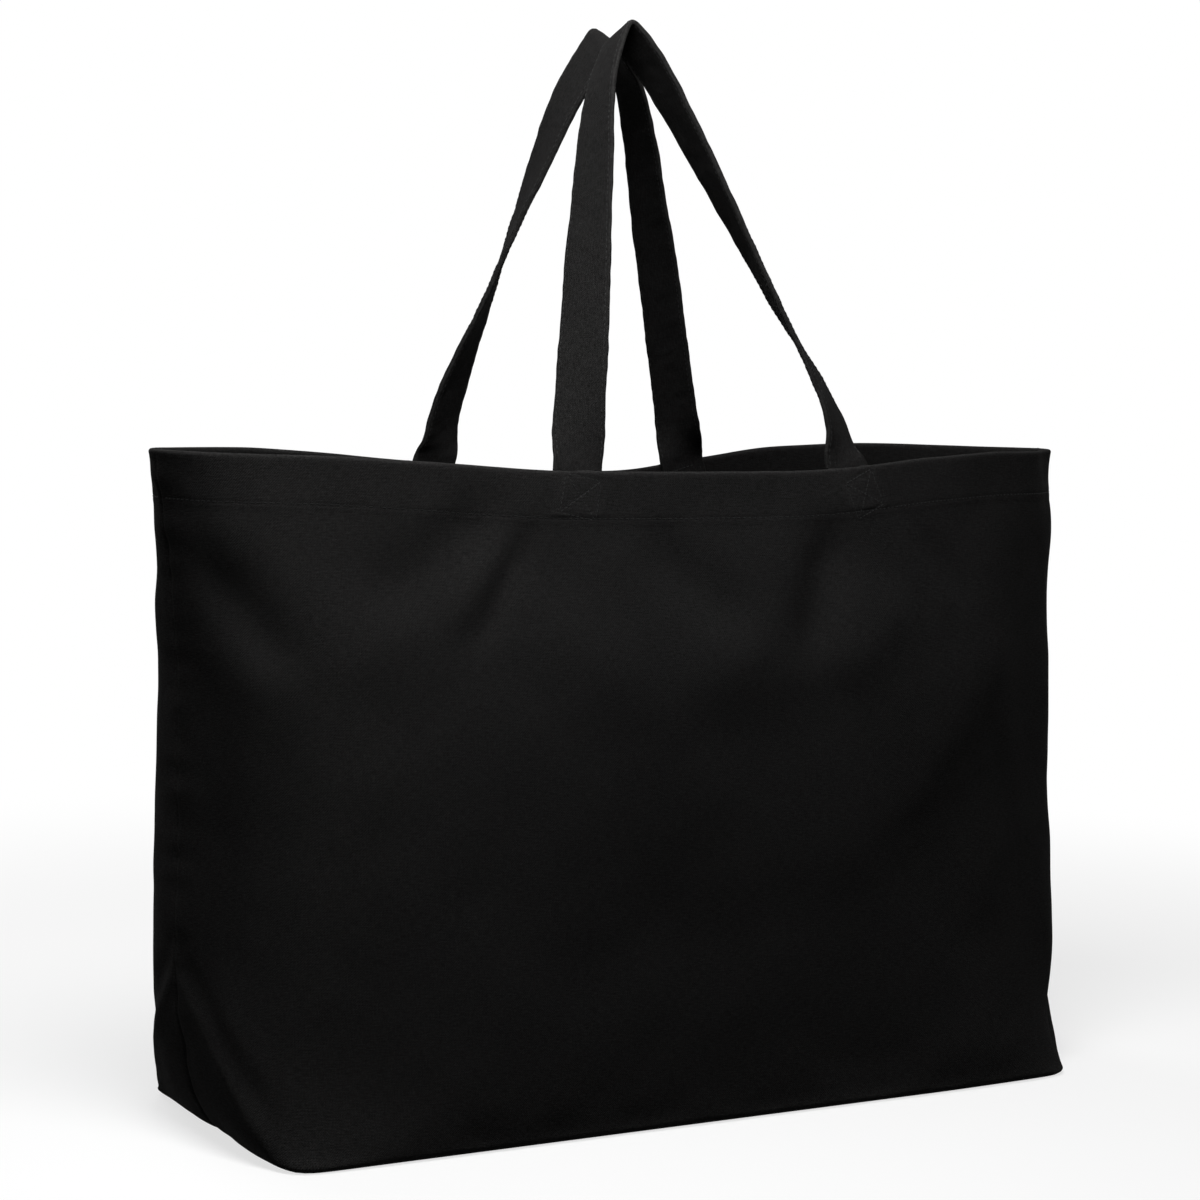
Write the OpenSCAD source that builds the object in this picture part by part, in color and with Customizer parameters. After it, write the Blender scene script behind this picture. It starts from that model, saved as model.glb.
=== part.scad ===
/* [Body] */
// Width of the bag laid flat, from side seam to side seam
flat_w = 608; // [420:1:760]
// Height of the bag laid flat, from the rim to the bottom fold
flat_h = 412; // [300:1:520]
// Depth of the boxed base, front to back
base_d = 168; // [100:1:210]
// Thickness of the canvas
cloth = 1; // [0.6:0.1:1.4]
// Height of the turned hem
hem_h = 25; // [18:1:40]
// Thickness of the hem's turned layers
hem_t = 2; // [1.2:0.1:2.8]

/* [Stance] */
// How far the side seams stand out past the ends of the base
end_bulge = 25; // [0:1:40]
// Height over which the ends swell out
end_rise = 25; // [15:1:60]
// How far the walls bow out at the floor
base_swell = 5; // [0:0.5:8]
// How much further the front and back walls swell out half way up
wall_bulge = 14; // [0:1:24]
// How far the side seams spread again at the mouth
mouth_flare = 13; // [0:1:24]
// Share of the height at which the mouth starts to spread
flare_start = 0.59; // [0.3:0.01:0.8]
// How far the handles draw the front and back rims together
mouth_pinch = 6.5; // [0:0.5:14]
// Sag of the front rim between the handles
front_dip = 8; // [0:0.5:14]
// Sag of the back rim between the handles
back_dip = 10; // [0:0.5:14]
// Roundness of the base's corners in plan, 0 for square
base_round = 0.03; // [0.02:0.01:0.12]
// Roundness of the walls' plan above the base corners, 0.5 for an ellipse
wall_round = 0.38; // [0.2:0.01:0.45]
// Roundness of the mouth in plan, 0.5 for an ellipse
mouth_round = 0.47; // [0.3:0.01:0.5]
// Height over which the base's corners soften
soften_h = 40; // [20:1:80]
// Radius of the soft fold round the bottom edge
edge_r = 4; // [3:0.5:8]

/* [Seams] */
// Width of a seam allowance
seam_w = 10; // [6:1:14]
// Thickness of a seam allowance, two layers of canvas
seam_t = 2; // [1.2:0.1:2.8]
// Gap between layers of cloth that lie on each other
layer_gap = 0.15; // [0.1:0.05:0.3]
// Gap between the hem and the sewn end of a strap
strap_gap = 0.8; // [0.6:0.1:0.9]
// Width of a stitched thread row
thread_w = 0.8; // [0.5:0.1:1.2]
// How far a stitched thread row stands out
thread_t = 0.3; // [0.2:0.05:0.5]
// Distance from the hem's lower edge to its stitching
hem_stitch_in = 2.5; // [1.5:0.5:6]
// Distance from a strap's edge to its stitching
strap_stitch_in = 2; // [1.5:0.5:5]

/* [Handles] */
// Width of the strap
strap_w = 25.4; // [18:0.1:32]
// Thickness of the strap
strap_t = 2.5; // [1.6:0.1:3.4]
// Distance between the legs of the front handle, centre to centre
front_leg_gap = 157; // [100:1:200]
// Distance between the legs of the back handle, centre to centre
back_leg_gap = 152; // [100:1:200]
// Length of strap that is sewn inside the hem
sewn_l = 24; // [14:1:36]
// Height of the top of the handles above the highest point of the rim
handle_rise = 206; // [120:1:300]
// Sideways place of the top of the handles
top_x = -20; // [-40:1:40]
// How much the legs bow outwards as they lean together
leg_bow = 0.1; // [0:0.05:0.5]
// Roll of the straps at the top, outer edge up
top_roll = 22; // [0:1:30]
// Half length of the bend at the top of a handle
top_bend = 16; // [12:1:30]
// Gap between the two handles where they rest on each other
rest_gap = 0.6; // [0.3:0.1:2]
// Gap between the sewn end of a strap and its free length
free_gap = 0.5; // [0.3:0.1:1]
// Pull of the front left leg as it leaves the rim, sideways and up
front_left_pull = [22, 101]; // [-80:1:160]
// Pull of the front right leg as it leaves the rim, sideways and up
front_right_pull = [-60, 146]; // [-80:1:160]
// Pull of the back left leg as it leaves the rim, sideways and up
back_left_pull = [12, 50]; // [-80:1:160]
// Pull of the back right leg as it leaves the rim, sideways and up
back_right_pull = [-46, 134]; // [-80:1:160]
// Front left leg: share of its twist near the rim, and the height that takes
front_left_twist = [0.2, 37]; // [0.05:0.05:60]
// Front right leg: share of its twist near the rim, and the height that takes
front_right_twist = [0.5, 8]; // [0.05:0.05:60]
// Back left leg: share of its twist near the rim, and the height that takes
back_left_twist = [0.3, 8]; // [0.05:0.05:60]
// Back right leg: share of its twist near the rim, and the height that takes
back_right_twist = [0.5, 7]; // [0.05:0.05:60]

/* [Hidden] */

// Sides of the bag along Y, and ends along X
FRONT = -1;
BACK = 1;
LEFT = -1;
RIGHT = 1;

canvas_colour = [0.07, 0.07, 0.075];
hem_colour = [0.085, 0.085, 0.09];
strap_colour = [0.1, 0.1, 0.105];
thread_colour = [0.14, 0.14, 0.145];

// Boxing the corners takes half the base's depth off the height and all of it off the width
base_w = flat_w - base_d;
bag_h = flat_h - base_d / 2;
// Share of a panel's width that goes round each end of the bag
end_share = base_d / 2 / flat_w;

// Depths of the layers behind the outer face of the canvas
hem_in = cloth + layer_gap;
strap_in = hem_in + hem_t + strap_gap;
strap_mid = strap_in + strap_t / 2;

// Heights of the seam allowances that lie on the base
floor_seam_z = cloth + layer_gap;
side_seam_z = floor_seam_z + seam_t + edge_r;
top_z = bag_h + handle_rise;

// The free strap starts this far above the rim
free_start = 2 * free_gap;
// A strap starts to twist this far above the place where its slanted foot clears the rim
twist_start = 1;
// The thread rows of a strap start this far above the rim
thread_start = 3;
// Inset and size of the box of stitching on a strap's end
box_margin = 2.5;
box_size = min(strap_w, sewn_l) - 2 * box_margin;

// How many facets go round one end, along one wall, up to the hem, up the hem and along a leg
end_steps = 6;
wall_steps = 30;
up_steps = 14;
hem_steps = 2;
leg_steps = 32;
// Spread of the facets towards the corners, and powers of their spread towards base and foot
corner_bias = 78;
base_bias = 1.6;
leg_bias = 2;

// ---- Shape of the standing body ----

function smooth(k) = let (c = min(max(k, 0), 1)) c * c * (3 - 2 * c);
function mix(a, b, k) = a + (b - a) * k;

// How far up the flaring part of the walls a height is, from 0 to 1
function flare_share(z) = max(0, (z / bag_h - flare_start) / (1 - flare_start));

// How far the bottom fold draws the walls in at height z
function edge_in(z) = edge_r * pow(max(0, 1 - z / edge_r), 2);

// Half the width and half the depth of the body at height z
function half_w(z) =
    base_w / 2 + base_swell + end_bulge * (1 - exp(-z / end_rise)) - edge_in(z)
    + mouth_flare * pow(flare_share(z), 1.5);
function half_d(z) =
    base_d / 2 + base_swell + wall_bulge * sin(180 * z / bag_h) - edge_in(z)
    - mouth_pinch * pow(z / bag_h, 2);

// Power of the rounded outline in plan at height z
function outline_power(z) =
    1 / (mix(base_round, wall_round, 1 - exp(-z / soften_h))
    + (mouth_round - wall_round) * smooth(flare_share(z)));

// Sag of a rim at the share k of the half width
function dip(side) = side == FRONT ? front_dip : back_dip;
function rim(k, side) = bag_h - dip(side) * (1 - pow(min(abs(k), 1), 2.5));
function rim_at(x, side) = rim(x / half_w(bag_h), side);

// Outer face of a wall at the sideways place x and height z, moved inwards by depth
function wall_y(x, z, depth, side) =
    let (a = half_w(z) - depth, b = half_d(z) - depth, n = outline_power(z))
    side * b * pow(1 - pow(min(abs(x) / a, 1), n), 1 / n);
function wall_at(x, z, depth, side) = [x, wall_y(x, z, depth, side), z];

// Plan angle of a wall's face and its lean from upright, at x and z
function wall_turn(x, z, side) = atan((wall_y(x + 1, z, 0, side) - wall_y(x - 1, z, 0, side)) / 2);
function wall_lean(x, z, side) =
    atan(-side * (wall_y(x, z + 1, 0, side) - wall_y(x, z - 1, 0, side)) / 2);

// A panel runs from the left side seam, t = 0, to the right one, t = 1
function spread(k) = sin(corner_bias * k) / sin(corner_bias);
function on_box(t) =
    t < end_share ? [-1, spread(t / end_share)]
    : t > 1 - end_share ? [1, spread((1 - t) / end_share)]
    : [spread((t - 0.5) / (0.5 - end_share)), 1];
function on_outline(t, n) =
    let (q = on_box(t), k = pow(pow(abs(q[0]), n) + pow(abs(q[1]), n), -1 / n)) q * k;
function skin(t, z, depth, side) =
    let (q = on_outline(t, outline_power(z)))
    [(half_w(z) - depth) * q[0], side * (half_d(z) - depth) * q[1], z];
function rim_over(t, side) = rim(on_outline(t, outline_power(bag_h))[0], side);

// ---- Closed solids from two grids of points ----

// Place along a panel at which the side seam's allowance ends
seam_reach = end_share * asin(sin(corner_bias) * seam_w / (base_d / 2)) / corner_bias;

// The places of the columns of facets along a panel
panel_ts = [
    0,
    for (i = [0 : end_steps - 1]) mix(seam_reach, end_share, i / end_steps),
    for (i = [0 : wall_steps]) mix(end_share, 1 - end_share, i / wall_steps),
    for (i = [end_steps - 1 : -1 : 0]) 1 - mix(seam_reach, end_share, i / end_steps),
    1
];

// The rows of facets up a wall, each as [height, share of the rim's height to add to it]
body_rows = [for (j = [1 : up_steps]) let (k = pow(j / up_steps, base_bias)) [-hem_h * k, k]];
hem_rows = [for (j = [0 : hem_steps]) [-hem_h * (1 - j / hem_steps), 1]];
function wall_rows(bottom) = concat([[bottom, 0]], body_rows, [for (j = [1 : hem_steps]) hem_rows[j]]);

// A grid of points at one depth
function face_points(ts, rows, depth, side) = [
    for (row = rows, t = ts) skin(t, row[0] + row[1] * rim_over(t, side), depth, side)
];

// Triangles of a grid of cols by rows points whose first index is base
function grid_faces(cols, rows, base, flip) = [
    for (j = [0 : rows - 2], i = [0 : cols - 2], half = [0, 1])
        let (
            a = base + j * cols + i, b = a + 1, c = b + cols, d = a + cols,
            tri = half == 0 ? [a, b, c] : [a, c, d]
        )
        flip ? [tri[2], tri[1], tri[0]] : tri
];

// Triangles of the strip between two rows of point numbers
function strip_faces(one, two, flip) = [
    for (i = [0 : len(one) - 2], half = [0, 1])
        let (tri = half == 0 ? [one[i], one[i + 1], two[i + 1]] : [one[i], two[i + 1], two[i]])
        flip ? [tri[2], tri[1], tri[0]] : tri
];

// Triangles from the row of point numbers to the one point middle
function fan_faces(row, middle, flip) = [
    for (i = [0 : len(row) - 2])
        flip ? [middle, row[i + 1], row[i]] : [row[i], row[i + 1], middle]
];

// A sheet with an outer and an inner face; with_floor closes it along the bottom
// by half of the base, up to the middle line of the bag
module sheet_solid(outer, inner, cols, rows, with_floor, flip) {
    count = cols * rows;
    bottom = [for (i = [0 : cols - 1]) i];
    top = [for (i = [0 : cols - 1]) count - cols + i];
    left = [for (j = [0 : rows - 1]) j * cols];
    right = [for (j = [0 : rows - 1]) j * cols + cols - 1];
    function behind(row) = [for (p = row) p + count];
    middles = [(outer[0] + outer[cols - 1]) / 2, (inner[0] + inner[cols - 1]) / 2];
    middle_row = [0, 2 * count, cols - 1];
    middle_behind = [count, 2 * count + 1, count + cols - 1];
    polyhedron(
        points = concat(outer, inner, with_floor ? middles : []),
        faces = concat(
            grid_faces(cols, rows, 0, !flip),
            grid_faces(cols, rows, count, flip),
            strip_faces(top, behind(top), !flip),
            strip_faces(left, behind(left), !flip),
            strip_faces(right, behind(right), flip),
            with_floor ? concat(
                fan_faces(bottom, 2 * count, flip),
                fan_faces(behind(bottom), 2 * count + 1, !flip),
                strip_faces(middle_row, middle_behind, flip)
            )
            : strip_faces(bottom, behind(bottom), flip)
        )
    );
}

// A layer of cloth on one wall between two depths
module wall_layer(ts, rows, depths, side) {
    sheet_solid(
        face_points(ts, rows, depths[0], side), face_points(ts, rows, depths[1], side),
        len(ts), len(rows), false, side == BACK
    );
}

// ---- Straps ----

// A band's ring at a point, from one edge along its middle to the other edge and back,
// between two offsets across the strap and two offsets through it
function ring(p, along, turn, roll, across, through) =
    let (
        wide = [cos(turn) * cos(roll), sin(turn) * cos(roll), sin(roll)],
        over = wide - along * (wide * along),
        w = over / norm(over),
        n = cross(along, w)
    )
    [
        for (c = [[0, 0], [0.5, 0], [1, 0], [1, 1], [0.5, 1], [0, 1]])
            p + w * mix(across[0], across[1], c[0]) + n * through[c[1]]
    ];
ring_n = 6;

function heading(ps, i) =
    let (d = ps[min(i + 1, len(ps) - 1)] - ps[max(i - 1, 0)]) d / norm(d);

// A band that follows the points ps, turned in plan and rolled by turns = [[turn, roll], ...]
module band(ps, turns, across, through) {
    count = len(ps);
    points = [
        for (i = [0 : count - 1])
            each ring(ps[i], heading(ps, i), turns[i][0], turns[i][1], across, through)
    ];
    sides = [
        for (i = [0 : count - 2], k = [0 : ring_n - 1], half = [0, 1])
            let (a = ring_n * i + k, b = ring_n * i + (k + 1) % ring_n, c = b + ring_n, d = a + ring_n)
            half == 0 ? [a, c, b] : [a, d, c]
    ];
    last = ring_n * (count - 1);
    ends = [
        for (quad = [[0, 1, 4, 5], [1, 2, 3, 4]], from = [0, last])
            [for (k = [0 : 3]) from + quad[from == 0 ? k : 3 - k]]
    ];
    polyhedron(points = points, faces = concat(sides, ends));
}

function leg_x(side, end) = end * (side == FRONT ? front_leg_gap : back_leg_gap) / 2;
function leg_pull(side, end) =
    side == FRONT ? (end == LEFT ? front_left_pull : front_right_pull)
    : (end == LEFT ? back_left_pull : back_right_pull);
function leg_twist(side, end) =
    side == FRONT ? (end == LEFT ? front_left_twist : front_right_twist)
    : (end == LEFT ? back_left_twist : back_right_twist);

// The strap is sewn on at the slant at which its leg leaves the rim
function leg_slant(side, end) = let (pull = leg_pull(side, end)) atan(pull[0] / pull[1]);

// Point on the strap's line along the wall, h above the rim, at a depth behind the wall's face
function strap_line(h, depth, side, end) =
    let (foot_x = leg_x(side, end), x = foot_x + h * tan(leg_slant(side, end)))
    wall_at(x, rim_at(foot_x, side) + h, depth, side);

// Where the free strap starts, just above the rim, and the top of a handle
function leg_foot(side, end) = strap_line(free_start, strap_mid, side, end);
function handle_top(side) =
    [top_x, side * (strap_w * cos(top_roll) + strap_t * sin(top_roll) + rest_gap) / 2, top_z];

function bezier(a, b, c, d, k) =
    pow(1 - k, 3) * a + 3 * pow(1 - k, 2) * k * b + 3 * (1 - k) * k * k * c + pow(k, 3) * d;

// Points of a leg from its foot to the top of the handle
function leg_points(side, end) =
    let (
        foot = leg_foot(side, end),
        top = handle_top(side),
        pull = leg_pull(side, end),
        share = pull[1] / (top[2] - foot[2]),
        away = foot + [pull[0], (top[1] - foot[1]) * share * (1 - leg_bow), pull[1]],
        over = top + [end * top_bend, 0, 0]
    )
    [for (i = [0 : leg_steps]) bezier(foot, away, over, top, pow(i / leg_steps, leg_bias))];

// A leg's width lies along the wall at its foot, and front to back at the top
// It stays flat until the lower corner of its slanted foot is above the rim
function flat_start(side, end) = twist_start + strap_w / 2 * abs(sin(leg_slant(side, end)));
function twist_share(h, flat_h, full_h, twist) =
    let (up = max(h - flat_h, 0))
    twist[0] * (1 - exp(-up / twist[1])) + (1 - twist[0]) * up / (full_h - flat_h);
function leg_turns(side, end) =
    let (
        ps = leg_points(side, end),
        full_h = ps[leg_steps][2] - ps[0][2],
        twist = leg_twist(side, end),
        flat_h = flat_start(side, end),
        whole = twist_share(full_h, flat_h, full_h, twist),
        start = wall_turn(leg_x(side, end), bag_h - dip(side), side) + (end == RIGHT ? side * 180 : 0)
    )
    [
        for (p = ps)
            let (k = twist_share(p[2] - ps[0][2], flat_h, full_h, twist) / whole)
            [mix(start, side * 90, k), top_roll * k]
    ];

// The whole loop, from the left foot over the top to the right foot
function backwards(list, from) = [for (i = [from : -1 : 0]) list[i]];
function loop_points(side) =
    concat(leg_points(side, LEFT), backwards(leg_points(side, RIGHT), leg_steps - 1));
function loop_turns(side) =
    concat(leg_turns(side, LEFT), backwards(leg_turns(side, RIGHT), leg_steps - 1));

// ---- Sub-parts ----

module panel(side) {
    color(canvas_colour)
        sheet_solid(
            face_points(panel_ts, wall_rows(0), 0, side),
            face_points(panel_ts, wall_rows(cloth), cloth, side),
            len(panel_ts), len(wall_rows(0)), true, side == BACK
        );
}

module hem(side) {
    color(hem_colour)
        wall_layer(panel_ts, hem_rows, [hem_in, hem_in + hem_t], side);
}

// The stitching that holds the hem, on the outer face between the hem's first two rows
module hem_thread(side) {
    step = hem_h / hem_steps;
    shares = [hem_stitch_in / step, (hem_stitch_in + thread_w) / step];
    cols = len(panel_ts);
    function row_points(depth) =
        let (low = face_points(panel_ts, [hem_rows[0]], depth, side))
        let (high = face_points(panel_ts, [hem_rows[1]], depth, side))
        [for (k = shares, i = [0 : cols - 1]) mix(low[i], high[i], k)];
    color(thread_colour)
        sheet_solid(
            row_points(-layer_gap - thread_t), row_points(-layer_gap),
            cols, len(shares), false, side == BACK
        );
}

// The side seam's allowance, pressed towards the back, up to the hem
module side_seam(end) {
    ts = end == LEFT ? [0, seam_reach] : [1 - seam_reach, 1];
    rows = [for (row = body_rows) if (row[0] + row[1] * bag_h > side_seam_z) row];
    color(hem_colour)
        wall_layer(ts, rows, [cloth + layer_gap, cloth + layer_gap + seam_t], BACK);
}

// The seam across one end of the base, where the boxed corner was closed
corner_seam_l = base_d - 4 * edge_r;
corner_seam_x = base_w / 2 - edge_r - cloth - layer_gap;
module corner_seam(end) {
    color(hem_colour)
        translate([end == LEFT ? -corner_seam_x : corner_seam_x - seam_w, -corner_seam_l / 2, floor_seam_z])
            cube([seam_w, corner_seam_l, seam_t]);
}

// The seam along the middle of the base, pressed towards the back
module base_seam() {
    half_l = corner_seam_x - seam_w - free_gap;
    color(hem_colour)
        translate([-half_l, 0, floor_seam_z])
            cube([2 * half_l, seam_w, seam_t]);
}

// The end of a strap that is sewn inside the hem
module handle_end(side, end) {
    steps = 4;
    ps = [
        for (i = [0 : steps])
            strap_line(mix(-sewn_l, free_start - free_gap, i / steps), strap_mid, side, end)
    ];
    turn = wall_turn(leg_x(side, end), bag_h - dip(side), side);
    color(strap_colour)
        band(ps, [for (p = ps) [turn, 0]], [-strap_w / 2, strap_w / 2], [-strap_t / 2, strap_t / 2]);
}

module handle(side) {
    color(strap_colour)
        band(
            loop_points(side), loop_turns(side),
            [-strap_w / 2, strap_w / 2], [-strap_t / 2, strap_t / 2]
        );
}

// Two rows of stitching along the strap, on the face that lay against the hem
module handle_thread(side) {
    ps = loop_points(side);
    turns = loop_turns(side);
    kept = [for (i = [0 : len(ps) - 1]) if (ps[i][2] > rim_at(ps[i][0], side) + thread_start) i];
    edge = strap_w / 2 - strap_stitch_in;
    face = strap_t / 2 + 3 * layer_gap;
    through = side == FRONT ? [-face - thread_t, -face] : [face, face + thread_t];
    color(thread_colour)
        for (row = [-1, 1])
            band(
                [for (i = kept) ps[i]], [for (i = kept) turns[i]],
                [row * edge - thread_w / 2, row * edge + thread_w / 2], through
            );
}

// A square of stitching crossed corner to corner, on the outer face over a strap's end
module box_stitch() {
    diagonal = sqrt(2) * box_size;
    difference() {
        square(box_size, center = true);
        square(box_size - 2 * thread_w, center = true);
    }
    intersection() {
        square(box_size - thread_w, center = true);
        for (turn = [45, -45])
            rotate(turn)
                square([diagonal, thread_w], center = true);
    }
}

module box_thread(side, end) {
    p = strap_line(-box_margin - box_size / 2, -3 * layer_gap - thread_t, side, end);
    lean = wall_lean(p[0], p[2], side);
    turn = -side * wall_turn(p[0], p[2], side);
    color(thread_colour)
        mirror([0, side == BACK ? 1 : 0, 0])
            translate([p[0], -side * p[1], p[2]])
                rotate([90 - lean, 0, turn])
                    linear_extrude(thread_t)
                        rotate(-leg_slant(side, end))
                            box_stitch();
}

panel(FRONT);  // front_panel
panel(BACK);  // back_panel
hem(FRONT);  // front_hem
hem(BACK);  // back_hem
side_seam(LEFT);  // left_side_seam
side_seam(RIGHT);  // right_side_seam
corner_seam(LEFT);  // left_corner_seam
corner_seam(RIGHT);  // right_corner_seam
base_seam();
handle_end(FRONT, LEFT);  // front_left_handle_end
handle_end(FRONT, RIGHT);  // front_right_handle_end
handle_end(BACK, LEFT);  // back_left_handle_end
handle_end(BACK, RIGHT);  // back_right_handle_end
handle(FRONT);  // front_handle
handle(BACK);  // back_handle
hem_thread(FRONT);  // front_hem_thread
hem_thread(BACK);  // back_hem_thread
box_thread(FRONT, LEFT);  // front_left_box_thread
box_thread(FRONT, RIGHT);  // front_right_box_thread
box_thread(BACK, LEFT);  // back_left_box_thread
box_thread(BACK, RIGHT);  // back_right_box_thread
handle_thread(FRONT);  // front_handle_thread
handle_thread(BACK);  // back_handle_thread
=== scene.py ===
"""A large black canvas tote bag that stands open, with two canvas straps leaning together.

Shapes are worked out in millimetres, mostly from the CAD source's own sizes, and put into the
scene in metres. Each wall of the bag is one sheet of canvas that runs under the base, up the
wall, over the rim and down inside as the turned hem.
"""
import math

import bmesh
import bpy
import numpy as np
from mathutils import Matrix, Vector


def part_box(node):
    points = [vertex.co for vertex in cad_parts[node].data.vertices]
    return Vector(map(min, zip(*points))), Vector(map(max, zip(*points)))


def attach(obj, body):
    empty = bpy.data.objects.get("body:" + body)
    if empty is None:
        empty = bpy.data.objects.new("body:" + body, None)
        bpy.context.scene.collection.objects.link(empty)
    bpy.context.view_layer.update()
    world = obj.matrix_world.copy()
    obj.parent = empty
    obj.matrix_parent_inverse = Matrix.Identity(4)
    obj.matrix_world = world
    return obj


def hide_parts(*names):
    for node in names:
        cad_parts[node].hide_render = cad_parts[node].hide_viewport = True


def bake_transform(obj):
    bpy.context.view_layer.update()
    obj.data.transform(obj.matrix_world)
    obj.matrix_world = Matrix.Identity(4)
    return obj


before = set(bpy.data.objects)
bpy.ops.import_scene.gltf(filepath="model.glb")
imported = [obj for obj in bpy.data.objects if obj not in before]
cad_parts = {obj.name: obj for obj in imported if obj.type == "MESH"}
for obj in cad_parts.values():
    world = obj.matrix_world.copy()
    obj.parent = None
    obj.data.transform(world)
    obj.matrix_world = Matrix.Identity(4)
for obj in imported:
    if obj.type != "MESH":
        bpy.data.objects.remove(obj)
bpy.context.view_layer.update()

MM = 0.001
FRONT, BACK = -1, 1
LEFT, RIGHT = -1, 1
SIDES = {"front": FRONT, "back": BACK}
ENDS = {"left": LEFT, "right": RIGHT}

# ---- Sizes ----

# Most of these are the CAD source's. The seams' thickness, and the thickness and the line of the
# straps, are this script's own. HEM_T is the whole hem, panel and turned layers together.
FLAT_W, FLAT_H, BASE_D = 608.0, 412.0, 168.0
BASE_W, BAG_H = FLAT_W - BASE_D, FLAT_H - BASE_D / 2
HALF_FLAT, GUSSET = FLAT_W / 2, BASE_D / 2
CLOTH = 1.0
HEM_H, HEM_T = 25.0, 3.0
STITCH_UP = 2.5
SEAM_W, SEAM_T = 10.0, 1.9
STRAP_W, STRAP_T = 25.4, 3.0
SEWN_L = 24.0
# The box of stitching on a sewn end: how far below the rim it starts, and half its size
BOX_DOWN = 2.5
BOX_HALF = (SEWN_L - 2 * BOX_DOWN) / 2
# Height at the side seam of the creases from the base corners
CREASE_TOP = 80.0
# What lies on the front or the back only keeps within this distance of the cloth's middle
ON_WALL = 180
HEM_PITCH, BOX_PITCH, OVERLOCK_PITCH = 3.05, 2.35, 2.6
# A strap's rows of stitching: how far in from its edge they run, and how deep they draw it in
ROW_IN, ROW_DEEP = 1.7, 0.24
# Rows of points, from its end, that hold the sewn end of a strap
SEWN_ROWS = 26
# First seed of the small unevenness of each kind of stitching
HEM_SEED, BOX_SEED, STRAP_SEED, SIDE_SEED, CORNER_SEED, BASE_SEED = 100, 110, 120, 130, 140, 150
STRAP_IN = HEM_T + 0.1
CAD_STRAP_MID = 5.2
TOP_Z, TOP_X = BAG_H + 208, -21.5
TOP_ROLL, TOP_BEND, REST_GAP, LEG_BOW = 22.0, 11.0, 0.6, 0.1
LEG_GAP = {FRONT: 157.0, BACK: 152.0}
DIP = {FRONT: 8.0, BACK: 10.0}
PULL = {
    (FRONT, LEFT): (22.0, 101.0), (FRONT, RIGHT): (-60.0, 146.0),
    (BACK, LEFT): (12.0, 50.0), (BACK, RIGHT): (-46.0, 134.0),
}
TWIST = {
    (FRONT, LEFT): (0.2, 37.0), (FRONT, RIGHT): (0.5, 8.0),
    (BACK, LEFT): (0.3, 8.0), (BACK, RIGHT): (0.5, 7.0),
}

# How the soft straps sway and turn away from the CAD's plain curves, low, half way up and high on
# each leg: sideways in mm, and further round in degrees
LEG_PLACES = (0.18, 0.5, 0.82)
LEG_SWAY = {
    (FRONT, LEFT): (-1, -2, -3), (FRONT, RIGHT): (7, 2, 1),
    (BACK, LEFT): (-4, -1, 1), (BACK, RIGHT): (0, 2, 6),
}
LEG_TURN = {
    (FRONT, LEFT): (-15, -5, -3), (FRONT, RIGHT): (-15, -5, 0),
    (BACK, LEFT): (-10, 0, 10), (BACK, RIGHT): (0, 10, 5),
}
BACK_TOP_SHIFT = 5

# Height of each rim at a few places along it, from the left side seam to the right one
RIM = {
    FRONT: ((-266, 327.5), (-200, 327), (-150, 324.5), (-90, 320.5), (50, 321), (80, 322.5), (125, 327),
            (185, 330), (266, 329)),
    BACK: ((-266, 327.5), (-190, 327), (-145, 324), (-80, 318.5), (-15, 314), (40, 314), (70, 318),
           (125, 327.5), (185, 330.5), (266, 329)),
}


# ---- Small helpers ----

def smooth(k):
    k = np.clip(k, 0, 1)
    return k * k * (3 - 2 * k)


def mix(a, b, k):
    return a + (b - a) * k


def unit(v):
    return v / np.maximum(np.linalg.norm(v, axis=-1, keepdims=True), 1e-12)


def waves(points, size, seed, count=30):
    """A smooth random field of about unit height, with features about size mm wide."""
    rng = np.random.default_rng(seed)
    k = unit(rng.normal(size=(count, 3))) * (2 * np.pi / size) * rng.uniform(0.6, 1.5, (count, 1))
    phase = rng.uniform(0, 2 * np.pi, count)
    total = sum(np.cos(points @ k[i] + phase[i]) for i in range(count))
    return total / math.sqrt(count / 2)


def bump_at(distance, width):
    return np.exp(-(distance / width) ** 2)


def fold(a, z, start, end, width, height, lean=0.0, taper=0.0, fade=0.35):
    """A ridge (or a valley, for a negative height) along a line on the flat cloth.

    lean makes it wider on the left of its direction and steeper on the right, taper widens it
    towards its end."""
    (a0, z0), (a1, z1) = start, end
    length = math.hypot(a1 - a0, z1 - z0)
    ua, uz = (a1 - a0) / length, (z1 - z0) / length
    along = ((a - a0) * ua + (z - z0) * uz) / length
    across = -(a - a0) * uz + (z - z0) * ua
    ends = smooth(along / fade) * smooth((1 - along) / fade)
    wide = width * (1 + taper * (np.clip(along, 0, 1) - 0.5)) * (1 + lean * np.tanh(2 * across / width))
    return ends * height * bump_at(across, wide)


# ---- Shape of the standing body ----

def flare_share(z):
    return np.maximum(0, (z / BAG_H - 0.59) / 0.41)


EDGE_R = 3.2


def edge_in(z):
    return EDGE_R * np.maximum(0, 1 - z / EDGE_R) ** 2


def half_w(z):
    return BASE_W / 2 + 5 + 25 * (1 - np.exp(-z / 25)) - edge_in(z) + 13 * flare_share(z) ** 1.5


def half_d(z):
    return (
        BASE_D / 2 + 5.5 + 14 * np.sin(np.pi * z / BAG_H) - edge_in(z) - 6.5 * (z / BAG_H) ** 2
    )


def outline_power(z):
    low = mix(0.03, 0.38, 1 - np.exp(-z / 40))
    return 1 / (low + 0.09 * smooth(flare_share(z)))


def cad_rim(x, side):
    k = np.minimum(np.abs(x) / (BASE_W / 2 + 43), 1)
    return BAG_H - DIP[side] * (1 - k ** 2.5)


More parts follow.
